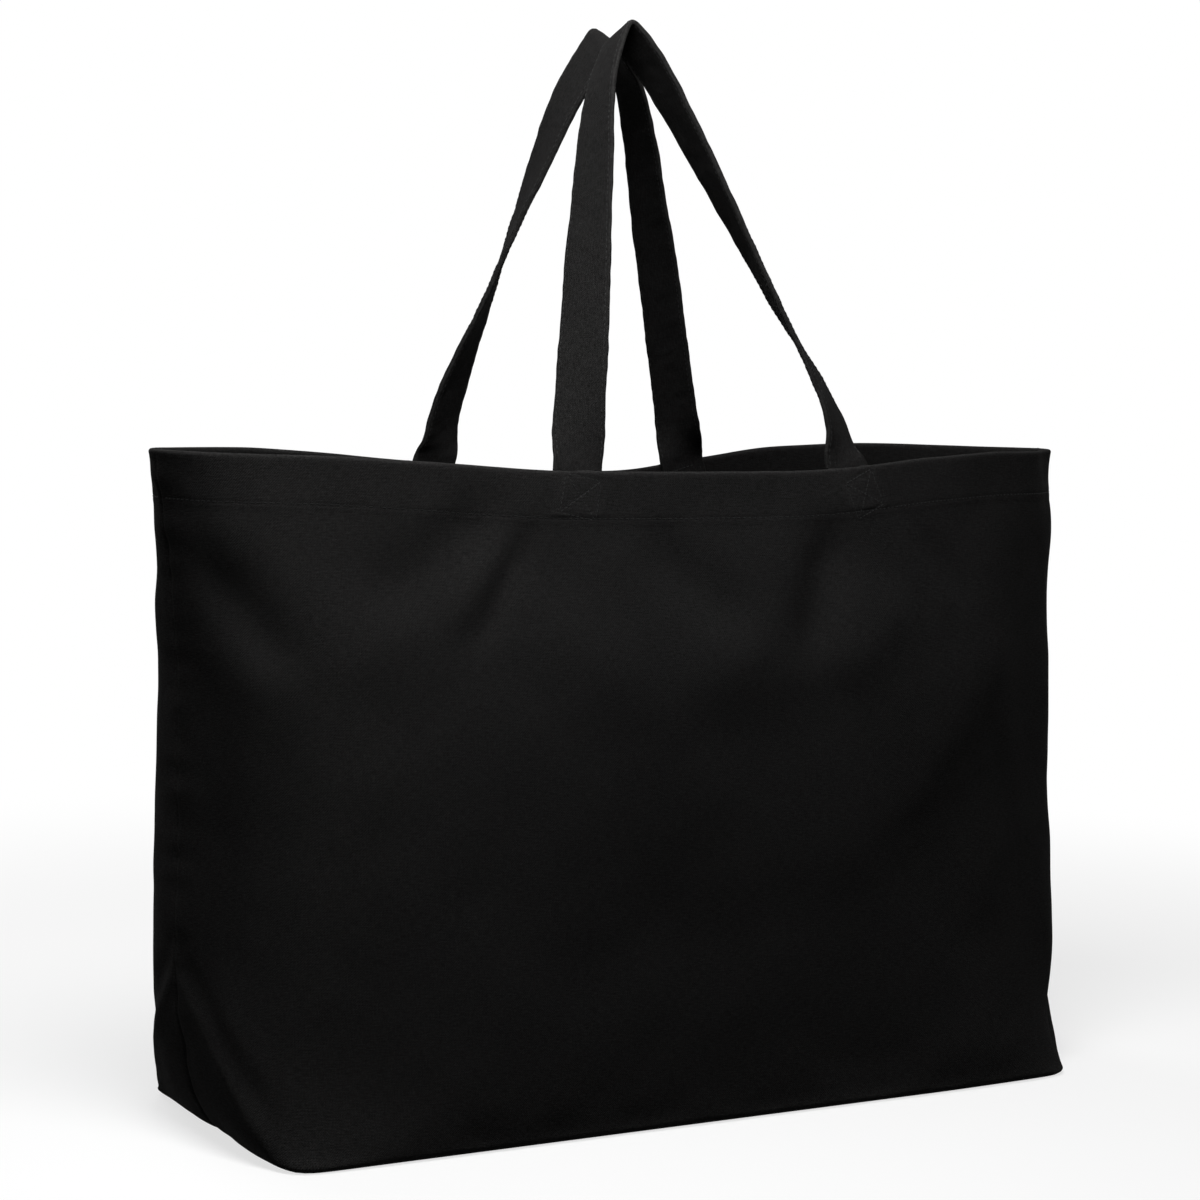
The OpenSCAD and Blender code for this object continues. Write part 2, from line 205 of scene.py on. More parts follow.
def wall_y(x, z, depth, side):
    a, b, n = half_w(z) - depth, half_d(z) - depth, outline_power(z)
    return side * b * (1 - np.minimum(np.abs(x) / a, 1) ** n) ** (1 / n)


# The outline in plan at each millimetre of height, at evenly spaced places along the cloth
TABLE_Z = np.arange(0, 336.0)
TABLE_T = np.linspace(0, 1, 1217)


def outline_table():
    table = np.zeros((len(TABLE_Z), len(TABLE_T), 2))
    share = BASE_D / 2 / FLAT_W
    t = np.linspace(0, 1, 2433)
    box_x = np.where(t < share, -1, np.where(t > 1 - share, 1, (t - 0.5) / (0.5 - share)))
    box_y = np.minimum(np.minimum(t, 1 - t) / share, 1)
    for row, z in enumerate(TABLE_Z):
        n = outline_power(z)
        k = (np.abs(box_x) ** n + box_y ** n) ** (-1 / n)
        x, y = half_w(z) * box_x * k, half_d(z) * box_y * k
        length = np.concatenate([[0], np.cumsum(np.hypot(np.diff(x), np.diff(y)))])
        table[row, :, 0] = np.interp(TABLE_T * length[-1], length, x)
        table[row, :, 1] = np.interp(TABLE_T * length[-1], length, y)
    return table


OUTLINE = outline_table()


def plain_wall(t, z, side):
    """Points of the unfolded wall at the shares t of its width and the heights z."""
    i = np.clip(z, 0, TABLE_Z[-1] - 1.001)
    j = np.clip(t, 0, 1) * (len(TABLE_T) - 1.001)
    i0, j0 = i.astype(int), j.astype(int)
    fi, fj = (i - i0)[..., None], (j - j0)[..., None]
    xy = mix(
        mix(OUTLINE[i0, j0], OUTLINE[i0, j0 + 1], fj),
        mix(OUTLINE[i0 + 1, j0], OUTLINE[i0 + 1, j0 + 1], fj), fi,
    )
    return np.stack([xy[..., 0], side * xy[..., 1], z], -1)


# ---- The grid of points that both faces of a wall share ----

SEAM_STEPS = (0, 0.6, 1.2, 1.9, 2.7, 3.8, 5.2, 7.0, 9.2, 11.8)
END_STEPS, WALL_STEPS = 34, 176
CORNER_T = (BASE_D / 2 + 2.3) / (2 * (BASE_D / 2 + 2.3) + BASE_W + 3.6)


def column_shares():
    first = np.array(SEAM_STEPS) / FLAT_W
    rest = np.linspace(first[-1], CORNER_T, END_STEPS - len(first) + 2)[1:]
    end = np.concatenate([first, rest])
    wall = np.linspace(CORNER_T, 1 - CORNER_T, WALL_STEPS + 1)[1:-1]
    return np.concatenate([end, wall, 1 - end[::-1]])


COLUMNS = column_shares()
FLAT_A = (COLUMNS - 0.5) * FLAT_W

FLOOR_ROWS = (0, 0.3, 0.7, 1.2, 1.9, 2.8, 4.0, 5.5, 7.5, 10.0)
HEM_ROWS = (-31, -29, -27.6, -26.6, -25.9, -25.4, -25.1, -24.8, -24.3, -23.7, -23.1, -22.5,
            -21.9, -21.3, -20.6, -19.4, -17.5, -15.3, -13, -10.7, -8.4, -6.3, -4.5, -3.1, -2.1)
FOLD_ANGLES = np.radians((8, 24, 42, 60, 76, 90))
MIDDLE_ROWS = 112
STITCH_ROW = len(FLOOR_ROWS) + MIDDLE_ROWS - 1 + HEM_ROWS.index(STITCH_UP - HEM_H)
FOLD_R = HEM_T / 2


def rim_height(x, side):
    """Height of the rim, smoothed between its control heights."""
    fine = np.linspace(-272, 272, 545)
    x_knots, z_knots = zip(*RIM[side])
    z = np.interp(fine, x_knots, z_knots)
    kernel = bump_at(np.arange(-30, 31), 13.0)
    z = np.convolve(np.pad(z, 30, mode="edge"), kernel / kernel.sum(), mode="valid")
    return np.interp(x, fine, z)


def grid_heights(side):
    """Height of each row at each column, and the depths of the outer and inner faces."""
    rim_x = plain_wall(COLUMNS, np.full(len(COLUMNS), BAG_H - 1), side)[:, 0]
    rim = rim_height(rim_x, side)
    rows, outer, inner = [], [], []

    def row(height, outer_depth, inner_depth):
        rows.append(height)
        outer.append(outer_depth)
        inner.append(inner_depth)

    for z in FLOOR_ROWS:
        row(np.full(len(COLUMNS), z), 0.0, CLOTH)
    for k in np.linspace(0, 1, MIDDLE_ROWS + 1)[1:-1]:
        row(mix(FLOOR_ROWS[-1], rim + HEM_ROWS[0], k), 0.0, CLOTH)
    # The inner face steps in where the turned hem starts
    for h in HEM_ROWS:
        row(rim + h, 0.0, mix(CLOTH, HEM_T, float(smooth((h + 25.45) / 0.75))))
    for angle in FOLD_ANGLES:
        row(rim - FOLD_R + FOLD_R * math.sin(angle), FOLD_R * (1 - math.cos(angle)),
            FOLD_R * (1 + math.cos(angle)))
    return np.array(rows), np.array(outer), np.array(inner), rim


def slant(side, end):
    across, up = PULL[side, end]
    return math.atan2(across, up)


def strap_place(x, z, side, end):
    """Place of a wall point across and along the sewn end of a strap, from its middle at the rim."""
    foot_x = end * LEG_GAP[side] / 2
    foot_z = float(cad_rim(foot_x, side))
    s = slant(side, end)
    dx, dz = x - foot_x, z - foot_z
    return dx * math.cos(s) - dz * math.sin(s), dx * math.sin(s) + dz * math.cos(s)


def over_sewn_end(points, a, z, rim, side, end):
    """strap_place, and how far a wall point lies over the strap's sewn end, from 0 to 1.

    The end shows through the hem down to the hem's stitching, and not below it."""
    across, along = strap_place(points[..., 0], z, side, end)
    on = smooth((STRAP_W / 2 + 1.2 - np.abs(across)) / 1.9) * smooth(above_stitching(z, rim) / 1.9)
    return across, along, on * (np.abs(a) < ON_WALL)


# Folds on the flat cloth: start, end, width, height and, if it isn't even, lean and taper. A is
# measured from the middle of the cloth and z upwards.
FRONT_FOLDS = (
    # The dark crease that falls from the top left corner, between two rolls
    ((-290, 290), (-215, 220), 14, -4.0),
    ((-275, 330), (-185, 190), 28, 4.0),
    ((-285, 250), (-215, 200), 18, 1.0),
    # The fan below the left strap
    ((-108, 302), (-145, 228), 8, -3.0),
    ((-115, 315), (-200, 250), 14, -4.0),
    ((-110, 305), (-165, 235), 9, 2.0),
    # The soft crease between the straps, and the dark one below the right strap
    ((-55, 295), (20, 235), 14, -3.5),
    ((72, 308), (40, 215), 14, -5.5),
    ((115, 265), (60, 210), 18, 2.5),
    ((105, 300), (175, 250), 12, -1.5),
    # The roll across the middle, with a hollow below it
    ((-130, 240), (60, 215), 30, 4.0),
    ((-40, 190), (110, 200), 38, -3.0),
    # The bright ridge at the right, and the dark facet beyond it
    ((200, 245), (80, 120), 20, 2.5),
    ((150, 230), (220, 20), 45, -5.5, -0.6),
    # Rolls down the corners, and a broad low hollow
    ((215, 320), (220, 80), 26, -6.0),
    ((-285, 300), (-260, 0), 26, -6.5),
    ((-205, 230), (-220, 0), 34, 5.0, 0.5),
    ((-150, 130), (200, 80), 50, -3.5),
)
BACK_FOLDS = (
    ((-290, 288), (-206, 206), 14, -3.4, 0.2, 0.1),
    ((-82, 302), (-150, 226), 9, -3.0, -0.2, 0.4),
    ((-100, 306), (-190, 250), 13, -2.0, 0.1, 0.6),
    ((70, 306), (112, 214), 10, -3.2, -0.2, 0.4),
    ((-60, 296), (58, 256), 15, -2.6, 0.2, 0.0),
    ((-90, 224), (110, 212), 26, 2.8, -0.2, 0.0),
    ((-196, 196), (-70, 120), 20, -2.2, 0.3, 0.0),
    ((288, 280), (206, 190), 15, -3.6, -0.2, 0.1),
    ((232, 210), (110, 110), 18, 2.6, 0.0, 0.2),
    ((60, 110), (190, 60), 24, -2.0, 0.3, 0.0),
    ((-200, 50), (-90, 26), 15, -1.5, 0.0, 0.0),
    ((168, 10), (214, 36), 7, -1.5, -0.3, 0.0),
)


# Broad leans of the corners: place along the cloth, height, their half widths, and how far out
LEANS = {
    FRONT: ((262, 325, 26, 25, -7), (262, 245, 26, 35, -3.5), (262, 80, 34, 40, 2), (226, 24, 22, 22, -4)),
    BACK: ((-258, 266, 34, 32, 4.2), (-226, 26, 30, 24, -4.5)),
}


CREASE_STRENGTH = {(FRONT, LEFT): 0.7, (BACK, LEFT): 0.6, (FRONT, RIGHT): 0.8, (BACK, RIGHT): 0.9}


def from_crease(a, z):
    """Distance of a place on the cloth from the crease between a base corner and the side seam."""
    return (z - CREASE_TOP * (1 - (HALF_FLAT - np.abs(a)) / GUSSET)) / math.sqrt(2)


def gusset_fold(a, z, side, end):
    """The crease from a base corner up to the side seam, left by the flattened bag."""
    seam = HALF_FLAT - np.abs(a)
    off = from_crease(a, z)
    near = smooth(seam / 10 + 0.35) * smooth((GUSSET - seam) / 22 + 0.1)
    ridge = 1.5 * bump_at(off + 1, 4.5) - 1.9 * bump_at(off - 9, 6) - 0.4 * bump_at(off + 12, 10)
    return (np.sign(a) == end) * near * CREASE_STRENGTH[side, end] * ridge


def above_stitching(z, rim):
    return z - rim + HEM_H - STITCH_UP


def puckers(points, a, z, rim):
    """Puckers along the side seam, the hem's stitching and the bottom edge."""
    seam = HALF_FLAT - np.abs(a)
    at_seam = 0.42 * bump_at(seam, 13) * smooth(z / 12) * waves(points * [0, 0, 1], 15, 11, 12)
    at_hem = 0.13 * bump_at(above_stitching(z, rim), 8) * waves(points * [1, 1, 0.2], 12, 13, 16)
    at_bottom = 0.25 * bump_at(z - 7, 7) * waves(points * [1, 1, 0.1], 26, 17, 16)
    return at_seam + at_hem + at_bottom


def hem_relief(z, rim):
    """The hem stands out a little, and its stitching draws it in."""
    return 0.35 * smooth((HEM_H + 2.5 - (rim - z)) / 5) - 0.22 * bump_at(above_stitching(z, rim), 0.9)


def sewn_end_relief(points, a, z, rim, side, end):
    """The sewn end of a strap shows through the hem, and its box of stitching draws it in."""
    across, along, on = over_sewn_end(points, a, z, rim, side, end)
    middle = along + BOX_DOWN + BOX_HALF
    line = np.minimum(np.abs(np.abs(across) - BOX_HALF), np.abs(np.abs(middle) - BOX_HALF))
    inside = (np.abs(across) < BOX_HALF + 0.8) & (np.abs(middle) < BOX_HALF + 0.8)
    cross = np.minimum(np.abs(across - middle), np.abs(across + middle)) / math.sqrt(2)
    stitched = np.where(inside, np.maximum(bump_at(line, 1.0), bump_at(cross, 1.0)), 0)
    return on * (0.6 - 0.5 * stitched)


def strap_pull(points, a, z, rim, side, end):
    """The strap's pull lifts the wall beside its foot."""
    foot = end * LEG_GAP[side] / 2
    return 1.3 * bump_at(points[..., 0] - foot, 20) * bump_at(rim - z, 40) * (np.abs(a) < ON_WALL)


def sags(a, z, side):
    """The end walls sag outwards low down, and the corners lean in and out."""
    seam, up = HALF_FLAT - np.abs(a), z / BAG_H
    total = bump_at(np.maximum(seam - 30, 0), 34) * (1.6 * bump_at(up - 0.30, 0.16))
    if side == BACK:
        total = total + 2.0 * bump_at(a + 258, 26) * bump_at(up - 0.62, 0.26)
    for place_a, place_z, width, height, amount in LEANS[side]:
        total = total + amount * bump_at(a - place_a, width) * bump_at(z - place_z, height)
    return total


def displacement(points, a, z, rim, side):
    """How far the folds, seams and stitching move the cloth outwards, in mm."""
    free = smooth(z / 26) * smooth((rim - z + 30) / 46)
    folds = FRONT_FOLDS if side == FRONT else BACK_FOLDS
    total = free * sum(fold(a, z, *f) for f in folds)
    total = total + 0.9 * free * waves(points, 150, 3) + 0.32 * free * waves(points, 58, 5)
    total = total + 0.1 * smooth(z / 10) * waves(points, 23, 7)
    total = total + puckers(points, a, z, rim) + hem_relief(z, rim) + sags(a, z, side)
    for end in (LEFT, RIGHT):
        total = total + gusset_fold(a, z, side, end) + sewn_end_relief(points, a, z, rim, side, end)
        total = total + strap_pull(points, a, z, rim, side, end)
    return total * smooth(z / 5)


def base_spread(a, z, side):
    """How far the bottom of the standing bag spreads beyond the boxed base, in mm."""
    low = np.exp(-z / 30)
    if side == FRONT:
        return low * (3.4 * smooth((a + 300) / 60) * smooth((250 - a) / 120) + 2.4 * bump_at(a + 262, 40))
    return low * (2.0 * bump_at(a + 290, 30) + 1.0 * bump_at(a, 120))


def wall_grids():
    """The folded wall's points, normals and face depths, for both sides, as one closed loop."""
    grids, loops = {}, []
    for side in (FRONT, BACK):
        z, outer, inner, rim = grid_heights(side)
        t = np.broadcast_to(COLUMNS, z.shape)
        grids[side] = {"z": z, "outer": outer, "inner": inner, "rim": rim,
                       "points": plain_wall(t, z, side)}

    def loop_normals(key):
        front, back = grids[FRONT][key], grids[BACK][key]
        loop = np.concatenate([front, back[:, -2:0:-1]], 1)
        round_it = np.roll(loop, -1, 1) - np.roll(loop, 1, 1)
        up_it = np.gradient(loop, axis=0)
        normals = unit(np.cross(round_it, up_it))
        n = len(COLUMNS)
        back_n = np.concatenate([normals[:, :1], normals[:, :n - 2:-1]], 1)
        grids[FRONT]["normals"], grids[BACK]["normals"] = normals[:, :n], back_n

    # The rows of the rim's fold all lie on one upright line, so the normals come from a lower row
    fold_n = len(FOLD_ANGLES)

    def hold_fold():
        for side in (FRONT, BACK):
            normals = grids[side]["normals"]
            normals[-fold_n:] = normals[-fold_n - 1]

    loop_normals("points")
    hold_fold()
    for side in (FRONT, BACK):
        g = grids[side]
        a = np.broadcast_to(FLAT_A, g["z"].shape)
        move = displacement(g["points"], a, g["z"], g["rim"][None, :], side)
        move[:, 0] = move[:, -1] = np.nan
        g["move"] = move
    for column in (0, -1):
        for side in (FRONT, BACK):
            g = grids[side]
            a = np.full(len(g["z"]), FLAT_A[column])
            g["move"][:, column] = displacement(
                g["points"][:, column], a, g["z"][:, column], g["rim"][column], side)
        both = (grids[FRONT]["move"][:, column] + grids[BACK]["move"][:, column]) / 2
        for side in (FRONT, BACK):
            fade = np.exp(-(HALF_FLAT - np.abs(FLAT_A)) / 14.0) * (np.sign(FLAT_A) == np.sign(FLAT_A[column]))
            gap = both - grids[side]["move"][:, column]
            grids[side]["move"] = grids[side]["move"] + gap[:, None] * fade[None, :]
    for side in (FRONT, BACK):
        g = grids[side]
        g["points"] = g["points"] + g["normals"] * g["move"][..., None]
        level = unit(g["normals"] * [1, 1, 0])
        g["points"] += level * base_spread(np.broadcast_to(FLAT_A, g["z"].shape), g["z"], side)[..., None]
        g["points"][:, 0, 1] = g["points"][:, -1, 1] = 0
    loop_normals("points")
    hold_fold()
    return grids


GRIDS = wall_grids()


# ---- Building meshes ----

class Patchwork:
    """Points and quads of one mesh, gathered patch by patch, with the cloth's own coordinates."""

    def __init__(self):
        self.points, self.wear, self.faces, self.uvs, self.count = [], [], [], [], 0

    def add(self, points, wear=0.0):
        shape = points.shape[:-1]
        index = self.count + np.arange(int(np.prod(shape))).reshape(shape)
        self.points.append(points.reshape(-1, 3))
        self.wear.append(np.broadcast_to(wear, shape).reshape(-1))
        self.count += index.size
        return index

    def skin(self, index, uv, flip=False):
        quads = np.stack([index[:-1, :-1], index[:-1, 1:], index[1:, 1:], index[1:, :-1]], -1)
        corners = np.stack([uv[:-1, :-1], uv[:-1, 1:], uv[1:, 1:], uv[1:, :-1]], -2)
        quads, corners = quads.reshape(-1, 4), corners.reshape(-1, 4, 2)
        if flip:
            quads, corners = quads[:, ::-1], corners[:, ::-1]
        self.faces.append(quads)
        self.uvs.append(corners)

    def strip(self, one, two, uv_one, flip=False, step=(0, CLOTH)):
        """One row of quads between two lines of points, step wide in the cloth's coordinates."""
        self.skin(np.stack([one, two]), np.stack([uv_one, uv_one + np.array(step)]), flip)

    def build(self, name, material):
        points = np.concatenate(self.points) * MM
        faces = np.concatenate(self.faces)
        mesh = bpy.data.meshes.new(name)
        mesh.vertices.add(len(points))
        mesh.vertices.foreach_set("co", points.astype(np.float32).ravel())
        mesh.loops.add(faces.size)
        mesh.loops.foreach_set("vertex_index", faces.astype(np.int32).ravel())
        mesh.polygons.add(len(faces))
        mesh.polygons.foreach_set("loop_start", np.arange(0, faces.size, 4, dtype=np.int32))
        mesh.polygons.foreach_set("use_smooth", np.ones(len(faces), bool))
        mesh.update(calc_edges=True)
        layer = mesh.uv_layers.new(name="cloth")
        layer.data.foreach_set("uv", (np.concatenate(self.uvs) * MM).astype(np.float32).ravel())
        # Per point: wear of the cloth, with the painted highlight along the rim fold and the painted shade of
        # the inner faces
        worn_and_painted_light = mesh.attributes.new("wear", "FLOAT", "POINT")
        worn_and_painted_light.data.foreach_set("value", np.concatenate(self.wear).astype(np.float32))
        mesh.materials.append(material)
        mesh.validate()
        obj = bpy.data.objects.new(name, mesh)
        bpy.context.scene.collection.objects.link(obj)
        return obj


# ---- Materials ----

class Nodes:
    """A short way to write a material's nodes."""

    def __init__(self, name):
        self.material = bpy.data.materials.new(name)
        self.material.use_nodes = True
        self.tree = self.material.node_tree
        self.shader = self.tree.nodes["Principled BSDF"]

    def put(self, kind, values=(), **settings):
        node = self.tree.nodes.new(kind)
        for key, value in settings.items():
            setattr(node, key, value)
        for socket, value in dict(values).items():
            self.feed(node.inputs[socket], value)
        return node

    def feed(self, socket, value):
        if isinstance(value, bpy.types.NodeSocket):
            self.tree.links.new(value, socket)
        else:
            socket.default_value = value

    def math(self, operation, a, b=0.0, clamp=False):
        node = self.put("ShaderNodeMath", {0: a, 1: b}, operation=operation, use_clamp=clamp)
        return node.outputs[0]

    def times(self, a, b, clamp=False):
        return self.math("MULTIPLY", a, b, clamp)

    def plus(self, a, b, clamp=False):
        return self.math("ADD", a, b, clamp)

    def spread(self, value, low, high, to_low=0.0, to_high=1.0):
        """value carried smoothly from one range to another, and held at its ends."""
        node = self.put("ShaderNodeMapRange", {
            "Value": value, "From Min": low, "From Max": high, "To Min": to_low, "To Max": to_high,
        }, interpolation_type="SMOOTHSTEP")
        return node.outputs["Result"]

    def blend_colour(self, share, a, b):
        node = self.put("ShaderNodeMix", {0: share}, data_type="RGBA")
        self.feed(node.inputs[6], a)
        self.feed(node.inputs[7], b)
        return node.outputs[2]

    def noise(self, vector, scale, detail=2.0, rough=0.5):
        node = self.put("ShaderNodeTexNoise", {
            "Vector": vector, "Scale": scale, "Detail": detail, "Roughness": rough})
        return node.outputs["Fac"]

    def scaled(self, vector, by):
        node = self.put("ShaderNodeVectorMath", {0: vector, 1: by}, operation="MULTIPLY")
        return node.outputs[0]


def grey(level, warm=0.0):
    return (level * (1 + warm), level, level * (1 - warm * 0.6), 1)


def cloth_material(name, level, pitch, roughness, lift=1.0):
    """Woven cotton: plain weave at the thread pitch (m), slubs along both threads, pale lint, and wear on the
    folds with a painted highlight along the rim and painted shade on the inner faces. lift scales the wear
    and the painted light."""
    m = Nodes(name)
    uv = m.put("ShaderNodeUVMap", uv_map="cloth").outputs[0]
    axes = m.put("ShaderNodeSeparateXYZ", {0: uv})
    # Threads wander a little, so the weave isn't a perfect grid
    wander = m.noise(uv, 90.0, 2.0)
    shift = m.times(m.math("SUBTRACT", wander, 0.5), pitch * 2.2)
    u = m.math("DIVIDE", m.plus(axes.outputs[0], shift), pitch)
    v = m.math("DIVIDE", m.plus(axes.outputs[1], shift), pitch)
    step_u = m.math("FLOOR", u)
    step_v = m.math("FLOOR", v)
    over = m.math("PINGPONG", m.plus(step_u, step_v), 1.0)
    warp = m.math("ABSOLUTE", m.math("SINE", m.times(u, math.pi)))
    weft = m.math("ABSOLUTE", m.math("SINE", m.times(v, math.pi)))
    under = m.math("SUBTRACT", 1.0, over)
    weave = m.plus(m.times(warp, over), m.times(weft, under))
    weave = m.math("POWER", weave, 0.7)
    slub_u = m.noise(m.scaled(uv, (260, 1700, 1)), 1.0, 2.0, 0.6)
    slub_v = m.noise(m.scaled(uv, (1700, 260, 1)), 1.0, 2.0, 0.6)
    slubs = m.plus(m.times(slub_u, m.spread(over, 0, 1, 0.45, 0.8)),
                   m.times(slub_v, m.spread(over, 0, 1, 0.55, 0.2)))
    fuzz = m.noise(uv, 2600.0, 2.0, 0.7)
    patches = m.noise(uv, 14.0, 3.0, 0.6)
    mottle = m.noise(uv, 900.0, 3.0, 0.7)
    # Wear, with the painted rim highlight and the painted shade of the inner faces, from the point attribute
    wear = m.put("ShaderNodeAttribute", attribute_name="wear").outputs["Fac"]

    shade = m.spread(weave, 0.1, 1.0, 0.5, 1.25)
    shade = m.times(shade, m.spread(slubs, 0.3, 0.7, 0.62, 1.46))
    shade = m.times(shade, m.spread(patches, 0.3, 0.7, 0.95, 1.05))
    shade = m.times(shade, m.spread(mottle, 0.3, 0.7, 0.8, 1.22))
    lint = m.spread(fuzz, 0.66, 0.8, 0.0, 0.6)
    worn_and_painted_light = m.times(wear, m.spread(mottle, 0.3, 0.65, 0.25, 1.0))
    light = m.plus(m.times(worn_and_painted_light, 0.9 * lift), lint)
    light = m.plus(light, shade)
    colour = m.blend_colour(
        m.times(light, 0.4, True), grey(level * 0.12), grey(level * 2.32, 0.02))
    m.feed(m.shader.inputs["Base Color"], colour)
    rough = m.spread(slubs, 0.2, 0.8, roughness + 0.04, roughness - 0.06)
    m.feed(m.shader.inputs["Roughness"], rough)
    height = m.plus(weave, m.times(slubs, 0.9))
    height = m.plus(height, m.times(mottle, 0.7))
    relief = m.put("ShaderNodeBump", {"Height": height, "Distance": 0.00022, "Strength": 0.85})
    m.feed(m.shader.inputs["Normal"], relief.outputs[0])
    m.shader.inputs["Specular IOR Level"].default_value = 0.01
    m.shader.inputs["Sheen Weight"].default_value = 0.001
    m.shader.inputs["Sheen Roughness"].default_value = 0.45
    m.shader.inputs["Sheen Tint"].default_value = grey(0.55)
    return m.material


def thread_material(name, level):
    """Sewing thread: two plies twisted along the stitch, with a slight lustre."""
    m = Nodes(name)
    uv = m.put("ShaderNodeUVMap", uv_map="cloth").outputs[0]
    axes = m.put("ShaderNodeSeparateXYZ", {0: uv})
    slanted = m.plus(axes.outputs[0], m.times(axes.outputs[1], 0.6))
    turn = m.times(slanted, 7200.0)
    ply = m.math("ABSOLUTE", m.math("SINE", turn))
    fray = m.noise(uv, 1900.0, 2.0, 0.6)
    share = m.plus(m.times(ply, 0.55), m.times(fray, 0.45))
    colour = m.blend_colour(share, grey(level * 0.45), grey(level * 1.5))
    m.feed(m.shader.inputs["Base Color"], colour)
    m.feed(m.shader.inputs["Roughness"], m.spread(fray, 0.2, 0.8, 0.62, 0.5))
    relief = m.put("ShaderNodeBump", {"Height": ply, "Distance": 0.00012, "Strength": 0.8})
    m.feed(m.shader.inputs["Normal"], relief.outputs[0])
    m.shader.inputs["Specular IOR Level"].default_value = 0.03
    m.shader.inputs["Sheen Weight"].default_value = 0.01
    return m.material


CANVAS = cloth_material("black_canvas", level=0.0115, pitch=0.00062, roughness=0.93)
STRAP_CLOTH = cloth_material("black_strap_canvas", level=0.0115, pitch=0.0006, roughness=0.9, lift=1.3)
EDGE_CLOTH = cloth_material("black_seam_canvas", level=0.012, pitch=0.00062, roughness=0.93, lift=1.4)
THREAD = thread_material("black_thread", 0.011)
STRAP_THREAD = thread_material("black_strap_thread", 0.021)


# ---- The two sheets of canvas ----

def wall_uv(z, side):
    return np.stack([np.broadcast_to(FLAT_A * side, z.shape), z], -1)


def wall_faces(side):
    """Points of a wall's outer and inner faces, with the groove of the side seams."""
    g = GRIDS[side]
    z, n = g["z"], g["normals"]
    groove = 0.7 * bump_at(HALF_FLAT - np.abs(FLAT_A), 1.3)[None, :]
    outer_depth = g["outer"][:, None] + groove
    inner_depth = g["inner"][:, None] + groove - 0.3 * bump_at(above_stitching(z, g["rim"]), 0.9)
    # Both faces of the fold at the rim end in one row
    outer_depth[-1] = inner_depth[-1] = (outer_depth[-1] + inner_depth[-1]) / 2
    outer = g["points"] - n * outer_depth[..., None]
    inner = g["points"] - n * inner_depth[..., None]
    for face in (outer, inner):
        face[:, 0, 1] = face[:, -1, 1] = 0.02 * side
    outer[0, :, 2] = 0
    inner[0, :, 2] = CLOTH
    # The inner face stays above the base, and its lowest rows stay in order
    lowest = CLOTH + 0.05 * np.minimum(np.arange(1, len(z)), 30)[:, None]
    inner[1:, :, 2] = np.maximum(inner[1:, :, 2], lowest)
    return outer, inner


def wall_wear(side):
    """Wear of the outer and inner faces along the seams, bottom edge and creases, a pale line along the
    rim fold that is partly wear and partly painted highlight, and painted shade over the inner face.
    """
    g = GRIDS[side]
    z, rim = g["z"], g["rim"]
    seam = (HALF_FLAT - np.abs(FLAT_A))[None, :]
    # The pale line along the rim fold is partly rubbed wear and partly a painted highlight where light
    # catches the fold
    rim_wear_and_highlight = bump_at(rim - z - 0.6, 1.6)
    wear = np.maximum(rim_wear_and_highlight, 0.5 * bump_at(seam, 2.4))
    wear = np.maximum(wear, 0.75 * bump_at(z - 2, 4.5))
    wear = np.maximum(wear, 0.25 * bump_at(from_crease(FLAT_A, z), 3.0) * (seam < GUSSET))
    for end in (LEFT, RIGHT):
        on = over_sewn_end(g["points"], FLAT_A, z, rim, side, end)[2]
        wear = np.maximum(wear, 0.3 * on)
    # Painted shade: the inner face's value is lowered all over, so it renders blacker than the outer face;
    # the rim and the turned hem's edge stay paler
    return wear, np.maximum(rim_wear_and_highlight, 0.8 * bump_at(rim - z - HEM_H + 0.3, 0.8)) - 0.45


def base_points(wall, height):
    """Points of one face of half the base, from the seam along the middle out to the wall."""
    e, last = END_STEPS, len(COLUMNS) - 1
    long_edge = wall[0, e:last - e + 1]
    left_edge, right_edge = wall[0, :e + 1], wall[0, last - e:][::-1]
    base = np.zeros((e + 1, len(long_edge), 3))
    across = np.linspace(0, 1, len(long_edge))
    for j in range(e + 1):
        left, right = left_edge[j, 0] - long_edge[0, 0], right_edge[j, 0] - long_edge[-1, 0]
        base[j, :, 0] = long_edge[:, 0] + mix(left, right, across)
        base[j, :, 1] = long_edge[:, 1] * (left_edge[j, 1] / left_edge[-1, 1])
    from_ends = np.minimum(np.abs(base[..., 0] - base[0, 0, 0]), np.abs(base[..., 0] - base[0, -1, 0]))
    from_edge = np.minimum(from_ends, np.abs(base[..., 1] - long_edge[None, :, 1]))
    rise = smooth(from_edge / 12) * (0.35 + 0.3 * waves(base, 70, 21)) + 0.7 * bump_at(base[..., 1], 1.6)
    base[..., 2] = height + np.maximum(rise, 0)
    base[:, 0], base[:, -1], base[-1] = left_edge, right_edge, long_edge
    return base


def add_base(patch, wall, index_wall, height, side, turned):
    """One face of half the base, joined to the wall's bottom edge."""
    e, last = END_STEPS, len(COLUMNS) - 1
    base = base_points(wall, height)
    inside = patch.add(base[:-1, 1:-1], 0.0)
    left, right = index_wall[0, :e][:, None], index_wall[0, last - e + 1:][::-1][:, None]
    index = np.concatenate([left, inside, right], 1)
    index = np.concatenate([index, index_wall[0, e:last - e + 1][None, :]], 0)
    along = np.broadcast_to(FLAT_A[e:last - e + 1] * side, base.shape[:2])
    uv = np.stack([along, np.abs(base[..., 1]) - np.abs(base[-1:, :, 1])], -1)
    patch.skin(index, uv, turned)
    return index, uv


